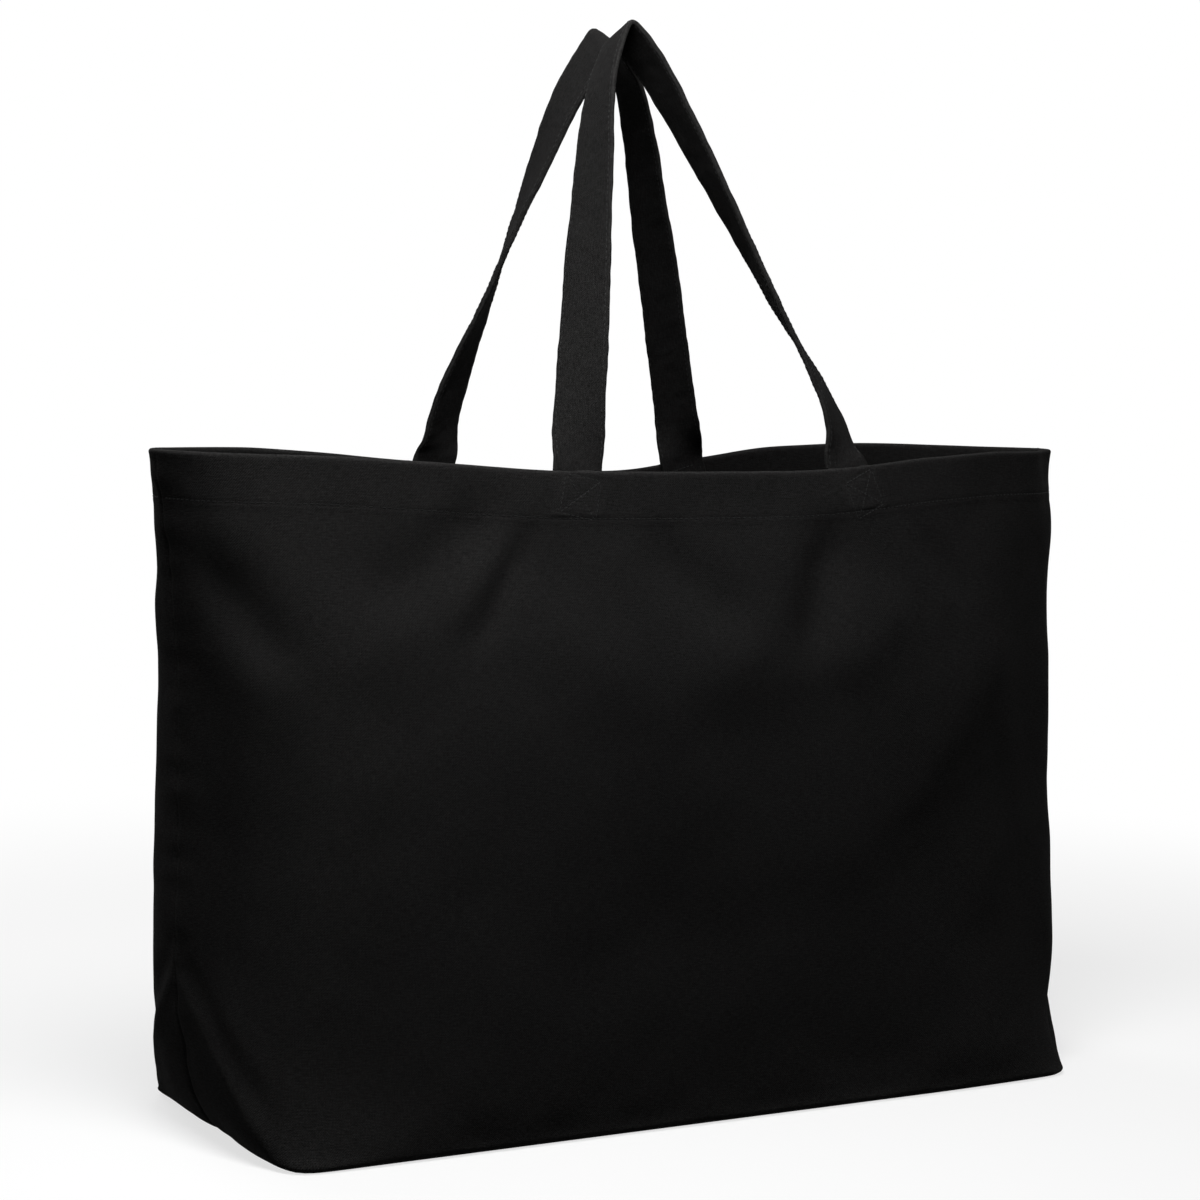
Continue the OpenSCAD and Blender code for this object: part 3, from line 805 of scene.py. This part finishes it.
def canvas_panel(name, side):
    """One sheet of canvas: half the base, a wall, the fold at the rim and the turned hem."""
    outer, inner = wall_faces(side)
    wear_out, wear_in = wall_wear(side)
    patch = Patchwork()
    index_out = patch.add(outer, wear_out)
    index_in = patch.add(inner[:-1], wear_in[:-1])
    index_in = np.concatenate([index_in, index_out[-1:]])
    uv = wall_uv(GRIDS[side]["z"], side)
    flip = side == BACK
    patch.skin(index_out, uv, flip)
    patch.skin(index_in, uv * [-1, 1] + [0.0, 700.0], not flip)
    under, _ = add_base(patch, outer, index_out, 0.0, side, not flip)
    over, uv_base = add_base(patch, inner, index_in, CLOTH, side, flip)
    patch.strip(under[0], over[0], uv_base[0], flip)
    for column, turned in ((0, flip), (-1, not flip)):
        patch.strip(index_out[:-1, column], index_in[:-1, column], uv[:-1, column], turned)
    return patch.build(name, CANVAS)


# ---- Stitches ----

def path_length(points):
    """Distance of each point of a path from its first one, along the path."""
    return np.concatenate([[0], np.cumsum(np.linalg.norm(np.diff(points, axis=0), axis=1))])


def values_at(s, length, values):
    """Rows of values at the distances s, from their rows at the distances length."""
    return np.stack([np.interp(s, length, values[:, i]) for i in range(3)], -1)


def path_frames(points, normals, pitch, start=0.0, end=0.0):
    """Evenly spaced places along a path: point, direction and normal."""
    length = path_length(points)
    total = length[-1] - end
    count = max(1, int((total - start) / pitch))
    s = start + (total - start - (count - 1) * pitch) / 2 + np.arange(count) * pitch
    at = values_at(s, length, points)
    along = unit(values_at(s + 0.5, length, points) - values_at(s - 0.5, length, points))
    n = values_at(s, length, normals)
    n = unit(n - along * (n * along).sum(-1, keepdims=True))
    return at, along, n


# Rings of one stitch: place along it, height and radius, as shares of its length and thickness
STITCH_RINGS = ((-0.5, -0.16, 0.10), (-0.36, 0.05, 0.23), (0.0, 0.12, 0.27), (0.36, 0.05, 0.23),
                (0.5, -0.16, 0.10))
RING_N = 6


def stitches(name, frames, length=2.2, thick=1.0, seed=1, lift=0.0, material=THREAD):
    """One mesh of many short raised stitches. frames are (points, directions, normals)."""
    at = np.concatenate([f[0] for f in frames])
    along = np.concatenate([f[1] for f in frames])
    normal = np.concatenate([f[2] for f in frames])
    rng = np.random.default_rng(seed)
    skew = rng.normal(0, 0.05, (len(at), 1))
    side = np.cross(normal, along)
    along = unit(along + side * skew)
    side = np.cross(normal, along)
    size = rng.normal(1, 0.05, (len(at), 1))
    patch = Patchwork()
    rings = []
    for k, out, radius in STITCH_RINGS:
        centre = at + along * (k * length * size) + normal * (out * thick + lift)
        for j in range(RING_N):
            angle = 2 * math.pi * j / RING_N
            rings.append(
                centre + side * (radius * thick * math.cos(angle))
                + normal * (radius * thick * 0.8 * math.sin(angle)))
    # Points are ordered ring by ring within a stitch
    points = np.stack(rings, 1)
    count, per = len(at), len(STITCH_RINGS) * RING_N
    index = patch.add(points)
    faces, uvs = [], []
    for r in range(len(STITCH_RINGS) - 1):
        for j in range(RING_N):
            k = (j + 1) % RING_N
            cell = (r * RING_N + j, r * RING_N + k, (r + 1) * RING_N + k, (r + 1) * RING_N + j)
            faces.append(index[:, cell])
            uv = [[STITCH_RINGS[c // RING_N][0] * length, (j + (1 if i in (1, 2) else 0)) * 0.28]
                  for i, c in enumerate(cell)]
            uvs.append(np.broadcast_to(np.array(uv), (count, 4, 2)))
    for base, order in ((0, (3, 2, 1, 0)), (per - RING_N, (0, 1, 2, 3))):
        for shift in (0, 3):
            cell = [base + (o + shift) % RING_N for o in order]
            faces.append(index[:, cell])
            uvs.append(np.zeros((count, 4, 2)))
    patch.faces, patch.uvs = faces, uvs
    return patch.build(name, material)


def hem_row(side, inside=False):
    g = GRIDS[side]
    depth = HEM_T - 0.3 if inside else 0.0
    points = g["points"][STITCH_ROW] - g["normals"][STITCH_ROW] * depth
    normals = g["normals"][STITCH_ROW] * (-1 if inside else 1)
    return path_frames(points, normals, HEM_PITCH, 3.0, 3.0)


def wall_at(x, z, side):
    """Point and normal of the folded wall at a place x, z away from the ends."""
    g = GRIDS[side]
    p, n = g["points"], g["normals"]
    middle = slice(END_STEPS + 6, len(COLUMNS) - END_STEPS - 6)
    rows = range(len(FLOOR_ROWS) + MIDDLE_ROWS - 12, p.shape[0] - len(FOLD_ANGLES))
    line_p = np.array([values_at(x, p[r, middle, 0], p[r, middle]) for r in rows])
    line_n = np.array([values_at(x, p[r, middle, 0], n[r, middle]) for r in rows])
    order = np.argsort(line_p[:, 2])
    heights = line_p[order, 2]
    return values_at(z, heights, line_p[order]), unit(values_at(z, heights, line_n[order]))


def box_lines():
    """The lines of a box of stitching crossed corner to corner, across and along the strap."""
    h = BOX_HALF
    low, high = -BOX_DOWN - 2 * h, -BOX_DOWN
    return (
        ((-h, low), (h, low)), ((h, low), (h, high)), ((h, high), (-h, high)), ((-h, high), (-h, low)),
        ((-h, low), (h, high)), ((-h, high), (h, low)),
    )


def strap_point(side, end, across, along):
    foot_x = end * LEG_GAP[side] / 2
    s = slant(side, end)
    x = foot_x + across * math.cos(s) + along * math.sin(s)
    z = float(cad_rim(foot_x, side)) - across * math.sin(s) + along * math.cos(s)
    return x, z


def box_frames(side, end):
    frames = []
    for (a0, l0), (a1, l1) in box_lines():
        points, normals = [], []
        for k in np.linspace(0, 1, 9):
            at, normal = wall_at(*strap_point(side, end, mix(a0, a1, k), mix(l0, l1, k)), side)
            points.append(at)
            normals.append(normal)
        frames.append(path_frames(np.array(points), np.array(normals), BOX_PITCH, 0.2, 0.2))
    return frames


# ---- Straps ----

def bezier(a, b, c, d, k):
    k = k[:, None]
    return (1 - k) ** 3 * a + 3 * (1 - k) ** 2 * k * b + 3 * (1 - k) * k * k * c + k ** 3 * d


def cad_strap_line(h, side, end):
    """Point on the strap's line along the wall, h above the rim."""
    foot_x = end * LEG_GAP[side] / 2
    x = foot_x + h * math.tan(slant(side, end))
    z = float(cad_rim(foot_x, side)) + h
    return np.array([x, float(wall_y(x, z, CAD_STRAP_MID, side)), z])


def turn_at(side, end):
    x, z = end * LEG_GAP[side] / 2, BAG_H - DIP[side]
    slope = (wall_y(x + 1, z, 0, side) - wall_y(x - 1, z, 0, side)) / 2
    return math.degrees(math.atan(slope)) + (side * 180 if end == RIGHT else 0)


def waver(share, amounts):
    """Smooth bends of a leg around LEG_PLACES, that leave its foot and its top where they are."""
    held = smooth(share / 0.1) * smooth((1 - share) / 0.1)
    return held * sum(amount * bump_at(share - place, 0.18) for amount, place in zip(amounts, LEG_PLACES))


LEG_STEPS = 170
FOOT_RISE = 1.0


def leg(side, end):
    """Points, turns and rolls of a strap from its sewn end's lower edge to the top."""
    foot = cad_strap_line(FOOT_RISE, side, end)
    reach = (STRAP_W * math.cos(math.radians(TOP_ROLL)) + STRAP_T * math.sin(math.radians(TOP_ROLL)))
    top = np.array([TOP_X, side * (reach + REST_GAP) / 2, TOP_Z])
    across, up = PULL[side, end]
    share = up / (top[2] - foot[2])
    away = foot + [across, (top[1] - foot[1]) * share * (1 - LEG_BOW), up]
    over = top + [end * TOP_BEND, 0, 0]
    free = bezier(foot, away, over, top, np.linspace(0, 1, LEG_STEPS + 1) ** 1.3)
    sewn = np.array([cad_strap_line(h, side, end) for h in np.linspace(-SEWN_L, FOOT_RISE, 21)[:-1]])
    points = np.concatenate([sewn, free])

    flat_h = 1 + STRAP_W / 2 * abs(math.sin(slant(side, end)))
    full_h = top[2] - foot[2]
    near, fall = TWIST[side, end]

    def twisted(h):
        rise = np.maximum(h - flat_h, 0)
        return near * (1 - np.exp(-rise / fall)) + (1 - near) * rise / (full_h - flat_h)

    up_from_foot = points[:, 2] - foot[2]
    k = twisted(up_from_foot) / twisted(np.array(full_h))
    share = up_from_foot / full_h
    points[:, 0] += waver(share, LEG_SWAY[side, end])
    if side == BACK:
        points[:, 0] += BACK_TOP_SHIFT * smooth((share - 0.8) / 0.2)
    turn = mix(turn_at(side, end), side * 90, k)
    turn += waver(share, LEG_TURN[side, end])
    return points, turn, TOP_ROLL * k


def eased(values, reach):
    """Values smoothed along a strap, with its ends kept."""
    kernel = bump_at(np.arange(-3 * reach, 3 * reach + 1), float(reach))
    kernel /= kernel.sum()
    pad = 3 * reach
    out = np.array(values, float)
    columns = out.reshape(len(out), -1)
    for i in range(columns.shape[1]):
        column = columns[:, i]
        start = 2 * column[0] - column[pad:0:-1]
        finish = 2 * column[-1] - column[-2:-pad - 2:-1]
        columns[:, i] = np.convolve(np.concatenate([start, column, finish]), kernel, mode="valid")
    return columns.reshape(out.shape)


def strap_line(side):
    """The whole strap: points, directions, widthways and facing directions, and length along it."""
    left, right = leg(side, LEFT), leg(side, RIGHT)
    points = np.concatenate([left[0], right[0][-2::-1]])
    turn = np.radians(np.concatenate([left[1], right[1][-2::-1]]))
    roll = np.radians(np.concatenate([left[2], right[2][-2::-1]]))
    points, turn, roll = eased(points, 3), eased(turn, 4), eased(roll, 4)
    along = unit(np.gradient(points, axis=0))
    wide = np.stack([np.cos(turn) * np.cos(roll), np.sin(turn) * np.cos(roll), np.sin(roll)], -1)
    wide = unit(wide - along * (wide * along).sum(-1, keepdims=True))
    facing = np.cross(along, wide)
    height = points[:, 2] - (BAG_H - DIP[side])
    close = (CAD_STRAP_MID - STRAP_T / 2 - STRAP_IN) * np.exp(-np.maximum(height, 0) / 14)
    points = points + close[:, None] * np.array([0, side, 0])
    return points, along, wide, facing, path_length(points)


def strap_section():
    """Half of a strap's section as (across, out), from edge to edge over one face."""
    flat = STRAP_W / 2 - 1.1
    across = np.concatenate([
        [-STRAP_W / 2, -STRAP_W / 2 + 0.12, -STRAP_W / 2 + 0.5],
        np.linspace(-flat, flat, 15),
        [STRAP_W / 2 - 0.5, STRAP_W / 2 - 0.12, STRAP_W / 2],
    ])
    edge = STRAP_W / 2 - np.abs(across)
    out = STRAP_T / 2 * np.sqrt(np.clip(1 - (1 - np.clip(edge / 1.1, 0, 1)) ** 2, 0, 1))
    out = out - ROW_DEEP * bump_at(edge - ROW_IN, 0.8) - 0.12 * smooth((edge - 4) / 5)
    out[0] = out[-1] = 0
    return across, out


STRAPS = {side: strap_line(side) for side in (FRONT, BACK)}


def strap_ripples(s, a, face, side):
    """How far a strap's edges sway sideways, and how far its faces pucker outwards."""
    count, seed = len(s), 40 + side
    at = np.stack([s, 0 * s, 0 * s], -1)
    sway = 0.1 * waves(at, 9.0, seed, 20) + 0.16 * waves(at, 34.0, seed + 1, 12)
    place = np.stack([np.repeat(s[:, None], len(a), 1), np.repeat(a[None, :], count, 0),
                      np.full((count, len(a)), face)], -1)
    pucker = 0.07 * waves(place, 7.5, seed + 3, 24) + 0.12 * waves(place, 21, seed + 5, 20)
    edge = np.sign(a) * (np.abs(a) / (STRAP_W / 2)) ** 6
    return edge[None, :] * sway[:, None], pucker


def strap(name, side):
    points, _, wide, facing, s = STRAPS[side]
    across, out = strap_section()
    count, n = len(points), len(across)
    rings = []
    for face in (1.0, -1.0):
        line = slice(0, n) if face > 0 else slice(n - 2, 0, -1)
        a, o = across[line], out[line]
        shift, pucker = strap_ripples(s, a, face, side)
        height = face * o[None, :] + pucker * (o[None, :] > 0.3)
        rings.append(points[:, None] + wide[:, None] * (a[None, :] + shift)[..., None]
                     + facing[:, None] * height[..., None])
    ring = np.concatenate(rings, 1)
    ring_across = np.concatenate([across, across[n - 2:0:-1]])
    per = ring.shape[1]
    wear = np.broadcast_to(0.4 * bump_at(STRAP_W / 2 - np.abs(ring_across), 0.6), (count, per))
    patch = Patchwork()
    index = patch.add(ring, wear)
    closed = np.concatenate([index, index[:, :1]], 1)
    width = np.concatenate([across + STRAP_W / 2, STRAP_W / 2 + STRAP_W - across[n - 2::-1]])
    uv = np.stack([np.repeat(s[:, None], per + 1, 1), np.repeat(width[None, :], count, 0)], -1)
    patch.skin(closed, uv, True)
    # Flat ends: strips between the two faces
    for row, turned in ((0, True), (-1, False)):
        one = index[row, :n]
        two = np.concatenate([[index[row, 0]], index[row, per - 1:n - 1:-1], [index[row, n - 1]]])
        patch.strip(one[1:-1], two[1:-1], uv[row, 1:n - 1], not turned, (STRAP_T, 0))
    return patch.build(name, STRAP_CLOTH)


def strap_rows(side):
    """Two rows of stitching on each face of a strap's free length."""
    points, _, wide, facing, s = STRAPS[side]
    rim = np.array([float(cad_rim(p[0], side)) for p in points])
    free = points[:, 2] > rim + 4
    frames = []
    for face in (1, -1):
        for edge in (1, -1):
            offset = edge * (STRAP_W / 2 - ROW_IN)
            shift, pucker = strap_ripples(s, np.array([offset]), face, side)
            line = points + wide * (offset + shift) + facing * (face * (STRAP_T / 2 - ROW_DEEP) + pucker)
            frames.append(path_frames(line[free], (facing * face)[free], HEM_PITCH))
    return frames


def sewn_box_frames(side, end):
    """The same box of stitching on the inner face of the strap's sewn end."""
    points, _, wide, facing, _ = STRAPS[side]
    order = slice(0, SEWN_ROWS) if end == LEFT else slice(-1, -SEWN_ROWS - 1, -1)
    p, w, f = points[order], wide[order], facing[order]
    inward = np.array([0, -side, 0.0])
    out = f * np.sign((f * inward).sum(-1, keepdims=True))
    run = path_length(p) - SEWN_L / math.cos(slant(side, end))
    frames = []
    for (a0, l0), (a1, l1) in box_lines():
        k = np.linspace(0, 1, 9)
        across, length = mix(a0, a1, k), mix(l0, l1, k)
        middle, wide_there, n = (values_at(length, run, v) for v in (p, w, out))
        line = middle + wide_there * across[:, None] + n * (STRAP_T / 2 - 0.12)
        frames.append(path_frames(line, n, BOX_PITCH, 0.2, 0.2))
    return frames


# ---- Seam allowances inside ----

def side_allowance(name, end):
    """The side seam's two layers, pressed towards the back, from the base up to the hem."""
    g = GRIDS[BACK]
    rows = slice(len(FLOOR_ROWS) - 2, len(FLOOR_ROWS) + MIDDLE_ROWS + 4)
    reach = int(np.searchsorted(np.array(SEAM_STEPS), SEAM_W - 0.5)) + 1
    cols = np.arange(reach + 1)
    if end == RIGHT:
        cols = len(COLUMNS) - 1 - cols
    p, n = g["points"][rows][:, cols], g["normals"][rows][:, cols]
    flat = np.stack([0 * p[..., 0], 0 * p[..., 0], p[..., 2]], -1)
    width = np.arange(reach + 1) / reach
    lift = 0.5 * width[None, :] ** 2 * (1 + waves(flat, 40, 61 + end, 12))
    depth_low = CLOTH + 0.12 + np.maximum(lift, 0)
    outline = np.sqrt(np.clip(1 - ((width - 0.86) / 0.14).clip(0) ** 2, 0, 1))
    half = SEAM_T / 2
    middle = depth_low + half
    near, far = middle - half * outline, middle + half * outline
    patch = Patchwork()
    lower = patch.add(p - n * near[..., None])
    upper = patch.add(p - n * far[..., None], bump_at(width - 1, 0.2)[None, :])
    uv = np.stack([np.broadcast_to(width * SEAM_W, p.shape[:2]), p[..., 2]], -1)
    turned = end == LEFT
    patch.skin(lower, uv, turned)
    patch.skin(upper, uv + [40, 0], not turned)
    for row, way in ((0, not turned), (-1, turned)):
        patch.strip(lower[row], upper[row], uv[0], way, (0, SEAM_T))
    for col, way in ((0, turned), (-1, not turned)):
        patch.strip(lower[:, col], upper[:, col], uv[:, col], way, (SEAM_T, 0))
    return patch.build(name, EDGE_CLOTH), p - n * far[..., None], n


def overlock_frames(edge_points, inward, normals):
    """Slanted stitches over a cut edge, from the edge inwards."""
    at, along, n = path_frames(edge_points, normals, OVERLOCK_PITCH, 2.0, 2.0)
    length = path_length(edge_points)
    inn = values_at(np.linspace(0, 1, len(at)), length / length[-1], inward)
    return at + inn * 1.9, unit(inn + along * 0.38), n


def floor_allowance(name, low, high, wave_seed, along_x):
    """A seam allowance lying on the base inside, between two corners in plan."""
    (x0, y0), (x1, y1) = low, high
    nx, ny = (120, 8) if along_x else (8, 50)
    x, y = np.meshgrid(np.linspace(x0, x1, nx + 1), np.linspace(y0, y1, ny + 1))
    across = (y - y0) / (y1 - y0) if along_x else (x - x0) / (x1 - x0)
    if low[0] > 0 and not along_x:
        across = 1 - across
    base = np.stack([x, y, 0 * x], -1)
    lift = 0.5 * across ** 2 * (1 + waves(base, 44, wave_seed, 12))
    round_off = np.sqrt(np.clip(1 - (np.abs(across - 0.5) * 2 - 0.8).clip(0) ** 2 / 0.04, 0, 1))
    middle = CLOTH + 1.15 + np.maximum(lift, 0) + SEAM_T / 2
    patch = Patchwork()
    bottom = base + np.stack([0 * x, 0 * x, middle - SEAM_T / 2 * round_off], -1)
    top = base + np.stack([0 * x, 0 * x, middle + SEAM_T / 2 * round_off], -1)
    lower = patch.add(bottom)
    upper = patch.add(top, bump_at(across - 1, 0.2))
    uv = np.stack([x, y], -1)
    patch.skin(lower, uv, True)
    patch.skin(upper, uv + [0, 300], False)
    for row, way in ((0, True), (-1, False)):
        patch.strip(lower[row], upper[row], uv[row], way, (0, 2))
    for col, way in ((0, False), (-1, True)):
        patch.strip(lower[:, col], upper[:, col], uv[:, col], way, (2, 0))
    return patch.build(name, EDGE_CLOTH), top


# ---- Putting the bag together ----

def close_corners(obj):
    """Closes the small holes at the ends of the strips, and turns every face outwards."""
    bm = bmesh.new()
    bm.from_mesh(obj.data)
    holes = [e for e in bm.edges if len(e.link_faces) == 1]
    bmesh.ops.holes_fill(bm, edges=holes, sides=8)
    bmesh.ops.recalc_face_normals(bm, faces=bm.faces)
    for face in bm.faces:
        face.smooth = True
    bm.to_mesh(obj.data)
    bm.free()


def put_on_bag(piece, *nodes):
    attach(piece, "bag")
    if nodes:
        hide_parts(*nodes)


def add_canvas(word, side):
    panel = canvas_panel(f"{word}_canvas", side)
    close_corners(panel)
    put_on_bag(panel, f"{word}_panel", f"{word}_hem")
    row = stitches(f"{word}_hem_stitching", [hem_row(side), hem_row(side, True)], seed=HEM_SEED + side)
    put_on_bag(row, f"{word}_hem_thread")
    return panel, row


def add_box(word, side, end_word, end):
    frames = box_frames(side, end) + sewn_box_frames(side, end)
    seed = BOX_SEED + side * 2 + end
    box = stitches(f"{word}_{end_word}_box_stitching", frames, 1.9, 0.85, seed, -0.04, STRAP_THREAD)
    put_on_bag(box, f"{word}_{end_word}_box_thread")


def add_strap(word, side):
    band = strap(f"{word}_strap", side)
    close_corners(band)
    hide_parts(f"{word}_handle", f"{word}_left_handle_end", f"{word}_right_handle_end")
    seed = STRAP_SEED + side
    rows = stitches(f"{word}_strap_stitching", strap_rows(side), 2.1, 0.9, seed, 0.05, STRAP_THREAD)
    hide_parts(f"{word}_handle_thread")
    for piece in (band, rows):
        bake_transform(piece)


def add_overlock(name, edge_points, inward, normals, seed):
    frames = overlock_frames(edge_points, inward, normals)
    put_on_bag(stitches(name, [frames], 4.2, 0.8, seed))


def add_side_seam(word, end):
    seam, edge, normals = side_allowance(f"{word}_side_allowance", end)
    close_corners(seam)
    put_on_bag(seam, f"{word}_side_seam")
    inward = unit(edge[:, -3] - edge[:, -1])
    add_overlock(f"{word}_side_overlock", edge[:, -1], inward, -normals[:, -1], SIDE_SEED + end)


def add_floor_seam(name, node, wave_seed, along_x):
    """An allowance on the base, in plan where its CAD node is. Returns its upper face."""
    low, high = ((corner.x / MM, corner.y / MM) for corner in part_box(node))
    piece, top = floor_allowance(name, low, high, wave_seed, along_x)
    close_corners(piece)
    put_on_bag(piece, node)
    return top


def add_floor_overlock(name, edge_points, inward, seed):
    count = len(edge_points)
    up = np.tile([0, 0, 1.0], (count, 1))
    add_overlock(name, edge_points, np.tile(inward, (count, 1)), up, seed)


def build_bag():
    for word, side in SIDES.items():
        add_canvas(word, side)
        for end_word, end in ENDS.items():
            add_box(word, side, end_word, end)
        add_strap(word, side)
    for word, end in ENDS.items():
        add_side_seam(word, end)
    for word, end in ENDS.items():
        top = add_floor_seam(f"{word}_corner_allowance", f"{word}_corner_seam", 71 + end, False)
        edge = top[:, -1] if end == LEFT else top[:, 0]
        add_floor_overlock(f"{word}_corner_overlock", edge, [float(end), 0, 0], CORNER_SEED + end)
    top = add_floor_seam("base_allowance", "base_seam", 75, True)
    add_floor_overlock("base_overlock", top[-1], [0, -1.0, 0], BASE_SEED)


build_bag()


# ---- Stage, light and camera ----

def stage_material(name, level, glow):
    """A pale surface that keeps the object's shadow and shows white to the camera."""
    m = Nodes(name)
    m.tree.nodes.remove(m.shader)
    out = m.tree.nodes["Material Output"]
    path = m.put("ShaderNodeLightPath")
    seen = m.plus(path.outputs["Is Camera Ray"], path.outputs["Is Glossy Ray"])
    seen = m.plus(seen, path.outputs["Is Transmission Ray"], True)
    matt = m.put("ShaderNodeBsdfDiffuse", {
        "Color": m.blend_colour(seen, grey(level * 0.08), grey(level))})
    white = m.put("ShaderNodeEmission", {"Color": grey(1.0), "Strength": 1.0})
    place = m.put("ShaderNodeTexCoord").outputs["Object"]
    away = m.put("ShaderNodeVectorMath", {0: place}, operation="LENGTH").outputs["Value"]
    share = m.spread(away, 0.45, 1.1, glow, 1.0)
    both = m.put("ShaderNodeMixShader", {0: m.times(seen, share)})
    m.tree.links.new(matt.outputs[0], both.inputs[1])
    m.tree.links.new(white.outputs[0], both.inputs[2])
    m.tree.links.new(both.outputs[0], out.inputs["Surface"])
    return m.material


def make_floor():
    mesh = bpy.data.meshes.new("floor")
    reach = 6.0
    corners = [(x * reach, y * reach, 0) for x, y in ((-1, -1), (1, -1), (1, 1), (-1, 1))]
    mesh.from_pydata(corners, [], [(0, 1, 2, 3)])
    floor = bpy.data.objects.new("floor", mesh)
    floor.location.z = -0.0004
    mesh.materials.append(stage_material("pale_floor", 0.9, 0.7))
    bpy.context.scene.collection.objects.link(floor)


def area_light(name, place, aim, size, power):
    lamp = bpy.data.lights.new(name, "AREA")
    lamp.shape = "DISK"
    lamp.size = size
    lamp.energy = power
    obj = bpy.data.objects.new(name, lamp)
    obj.location = place
    direction = unit(np.array(aim) - np.array(place))
    side = unit(np.cross(direction, [0, 0, 1.0]))
    up = np.cross(side, direction)
    towards = Matrix(np.stack([side, up, -direction], 1).tolist())
    obj.rotation_euler = towards.to_euler()
    obj.visible_camera = False
    bpy.context.scene.collection.objects.link(obj)


def make_world():
    world = bpy.data.worlds.new("studio")
    bpy.context.scene.world = world
    world.use_nodes = True
    tree = world.node_tree
    soft = tree.nodes["Background"]
    soft.inputs["Color"].default_value = grey(1.0)
    soft.inputs["Strength"].default_value = 0.11
    white = tree.nodes.new("ShaderNodeBackground")
    white.inputs["Color"].default_value = grey(1.0)
    white.inputs["Strength"].default_value = 1.0
    path = tree.nodes.new("ShaderNodeLightPath")
    seen = path.outputs["Is Camera Ray"]
    both = tree.nodes.new("ShaderNodeMixShader")
    for step, kind in enumerate(("Is Glossy Ray", "Is Transmission Ray")):
        added = tree.nodes.new("ShaderNodeMath")
        added.use_clamp = True
        tree.links.new(seen, added.inputs[0])
        tree.links.new(path.outputs[kind], added.inputs[1])
        seen = added.outputs[0]
    tree.links.new(seen, both.inputs[0])
    tree.links.new(soft.outputs[0], both.inputs[1])
    tree.links.new(white.outputs[0], both.inputs[2])
    tree.links.new(both.outputs[0], tree.nodes["World Output"].inputs["Surface"])


# The camera's view of the photograph, found by fitting the bag's corners, rim and straps to it
CAMERA_LENS = 90.15
CAMERA_PLACE = (-0.79214, -1.31532, 0.3741)
CAMERA_YAW, CAMERA_PITCH, CAMERA_ROLL = (math.radians(v) for v in (30.434, 4.593, 1.191))


def make_camera():
    data = bpy.data.cameras.new("camera")
    data.sensor_width = 36.0
    data.lens = CAMERA_LENS
    data.clip_start, data.clip_end = 0.05, 50.0
    camera = bpy.data.objects.new("camera", data)
    level = math.cos(CAMERA_PITCH)
    ahead = np.array([math.sin(CAMERA_YAW) * level, math.cos(CAMERA_YAW) * level, -math.sin(CAMERA_PITCH)])
    level_right = np.array([math.cos(CAMERA_YAW), -math.sin(CAMERA_YAW), 0])
    level_up = np.cross(level_right, ahead)
    right = level_right * math.cos(CAMERA_ROLL) + level_up * math.sin(CAMERA_ROLL)
    up = level_up * math.cos(CAMERA_ROLL) - level_right * math.sin(CAMERA_ROLL)
    turn = Matrix(np.stack([right, up, -ahead], 1).tolist()).to_4x4()
    turn.translation = CAMERA_PLACE
    camera.matrix_world = turn
    bpy.context.scene.collection.objects.link(camera)
    bpy.context.scene.camera = camera


make_floor()
make_world()
area_light("key", (-0.24, -0.37, 0.92), (-0.05, 0, 0.25), 0.45, 9.3)
area_light("fill", (1.8, -1.6, 1.4), (0, 0, 0.25), 1.8, 0.8)
area_light("back", (0.5, 1.9, 2.2), (0, 0, 0.3), 1.6, 6)
area_light("behind", (-0.35, 1.7, 1.3), (0, 0, 0.2), 0.9, 12)
make_camera()
bpy.context.scene.view_settings.view_transform = "Standard"
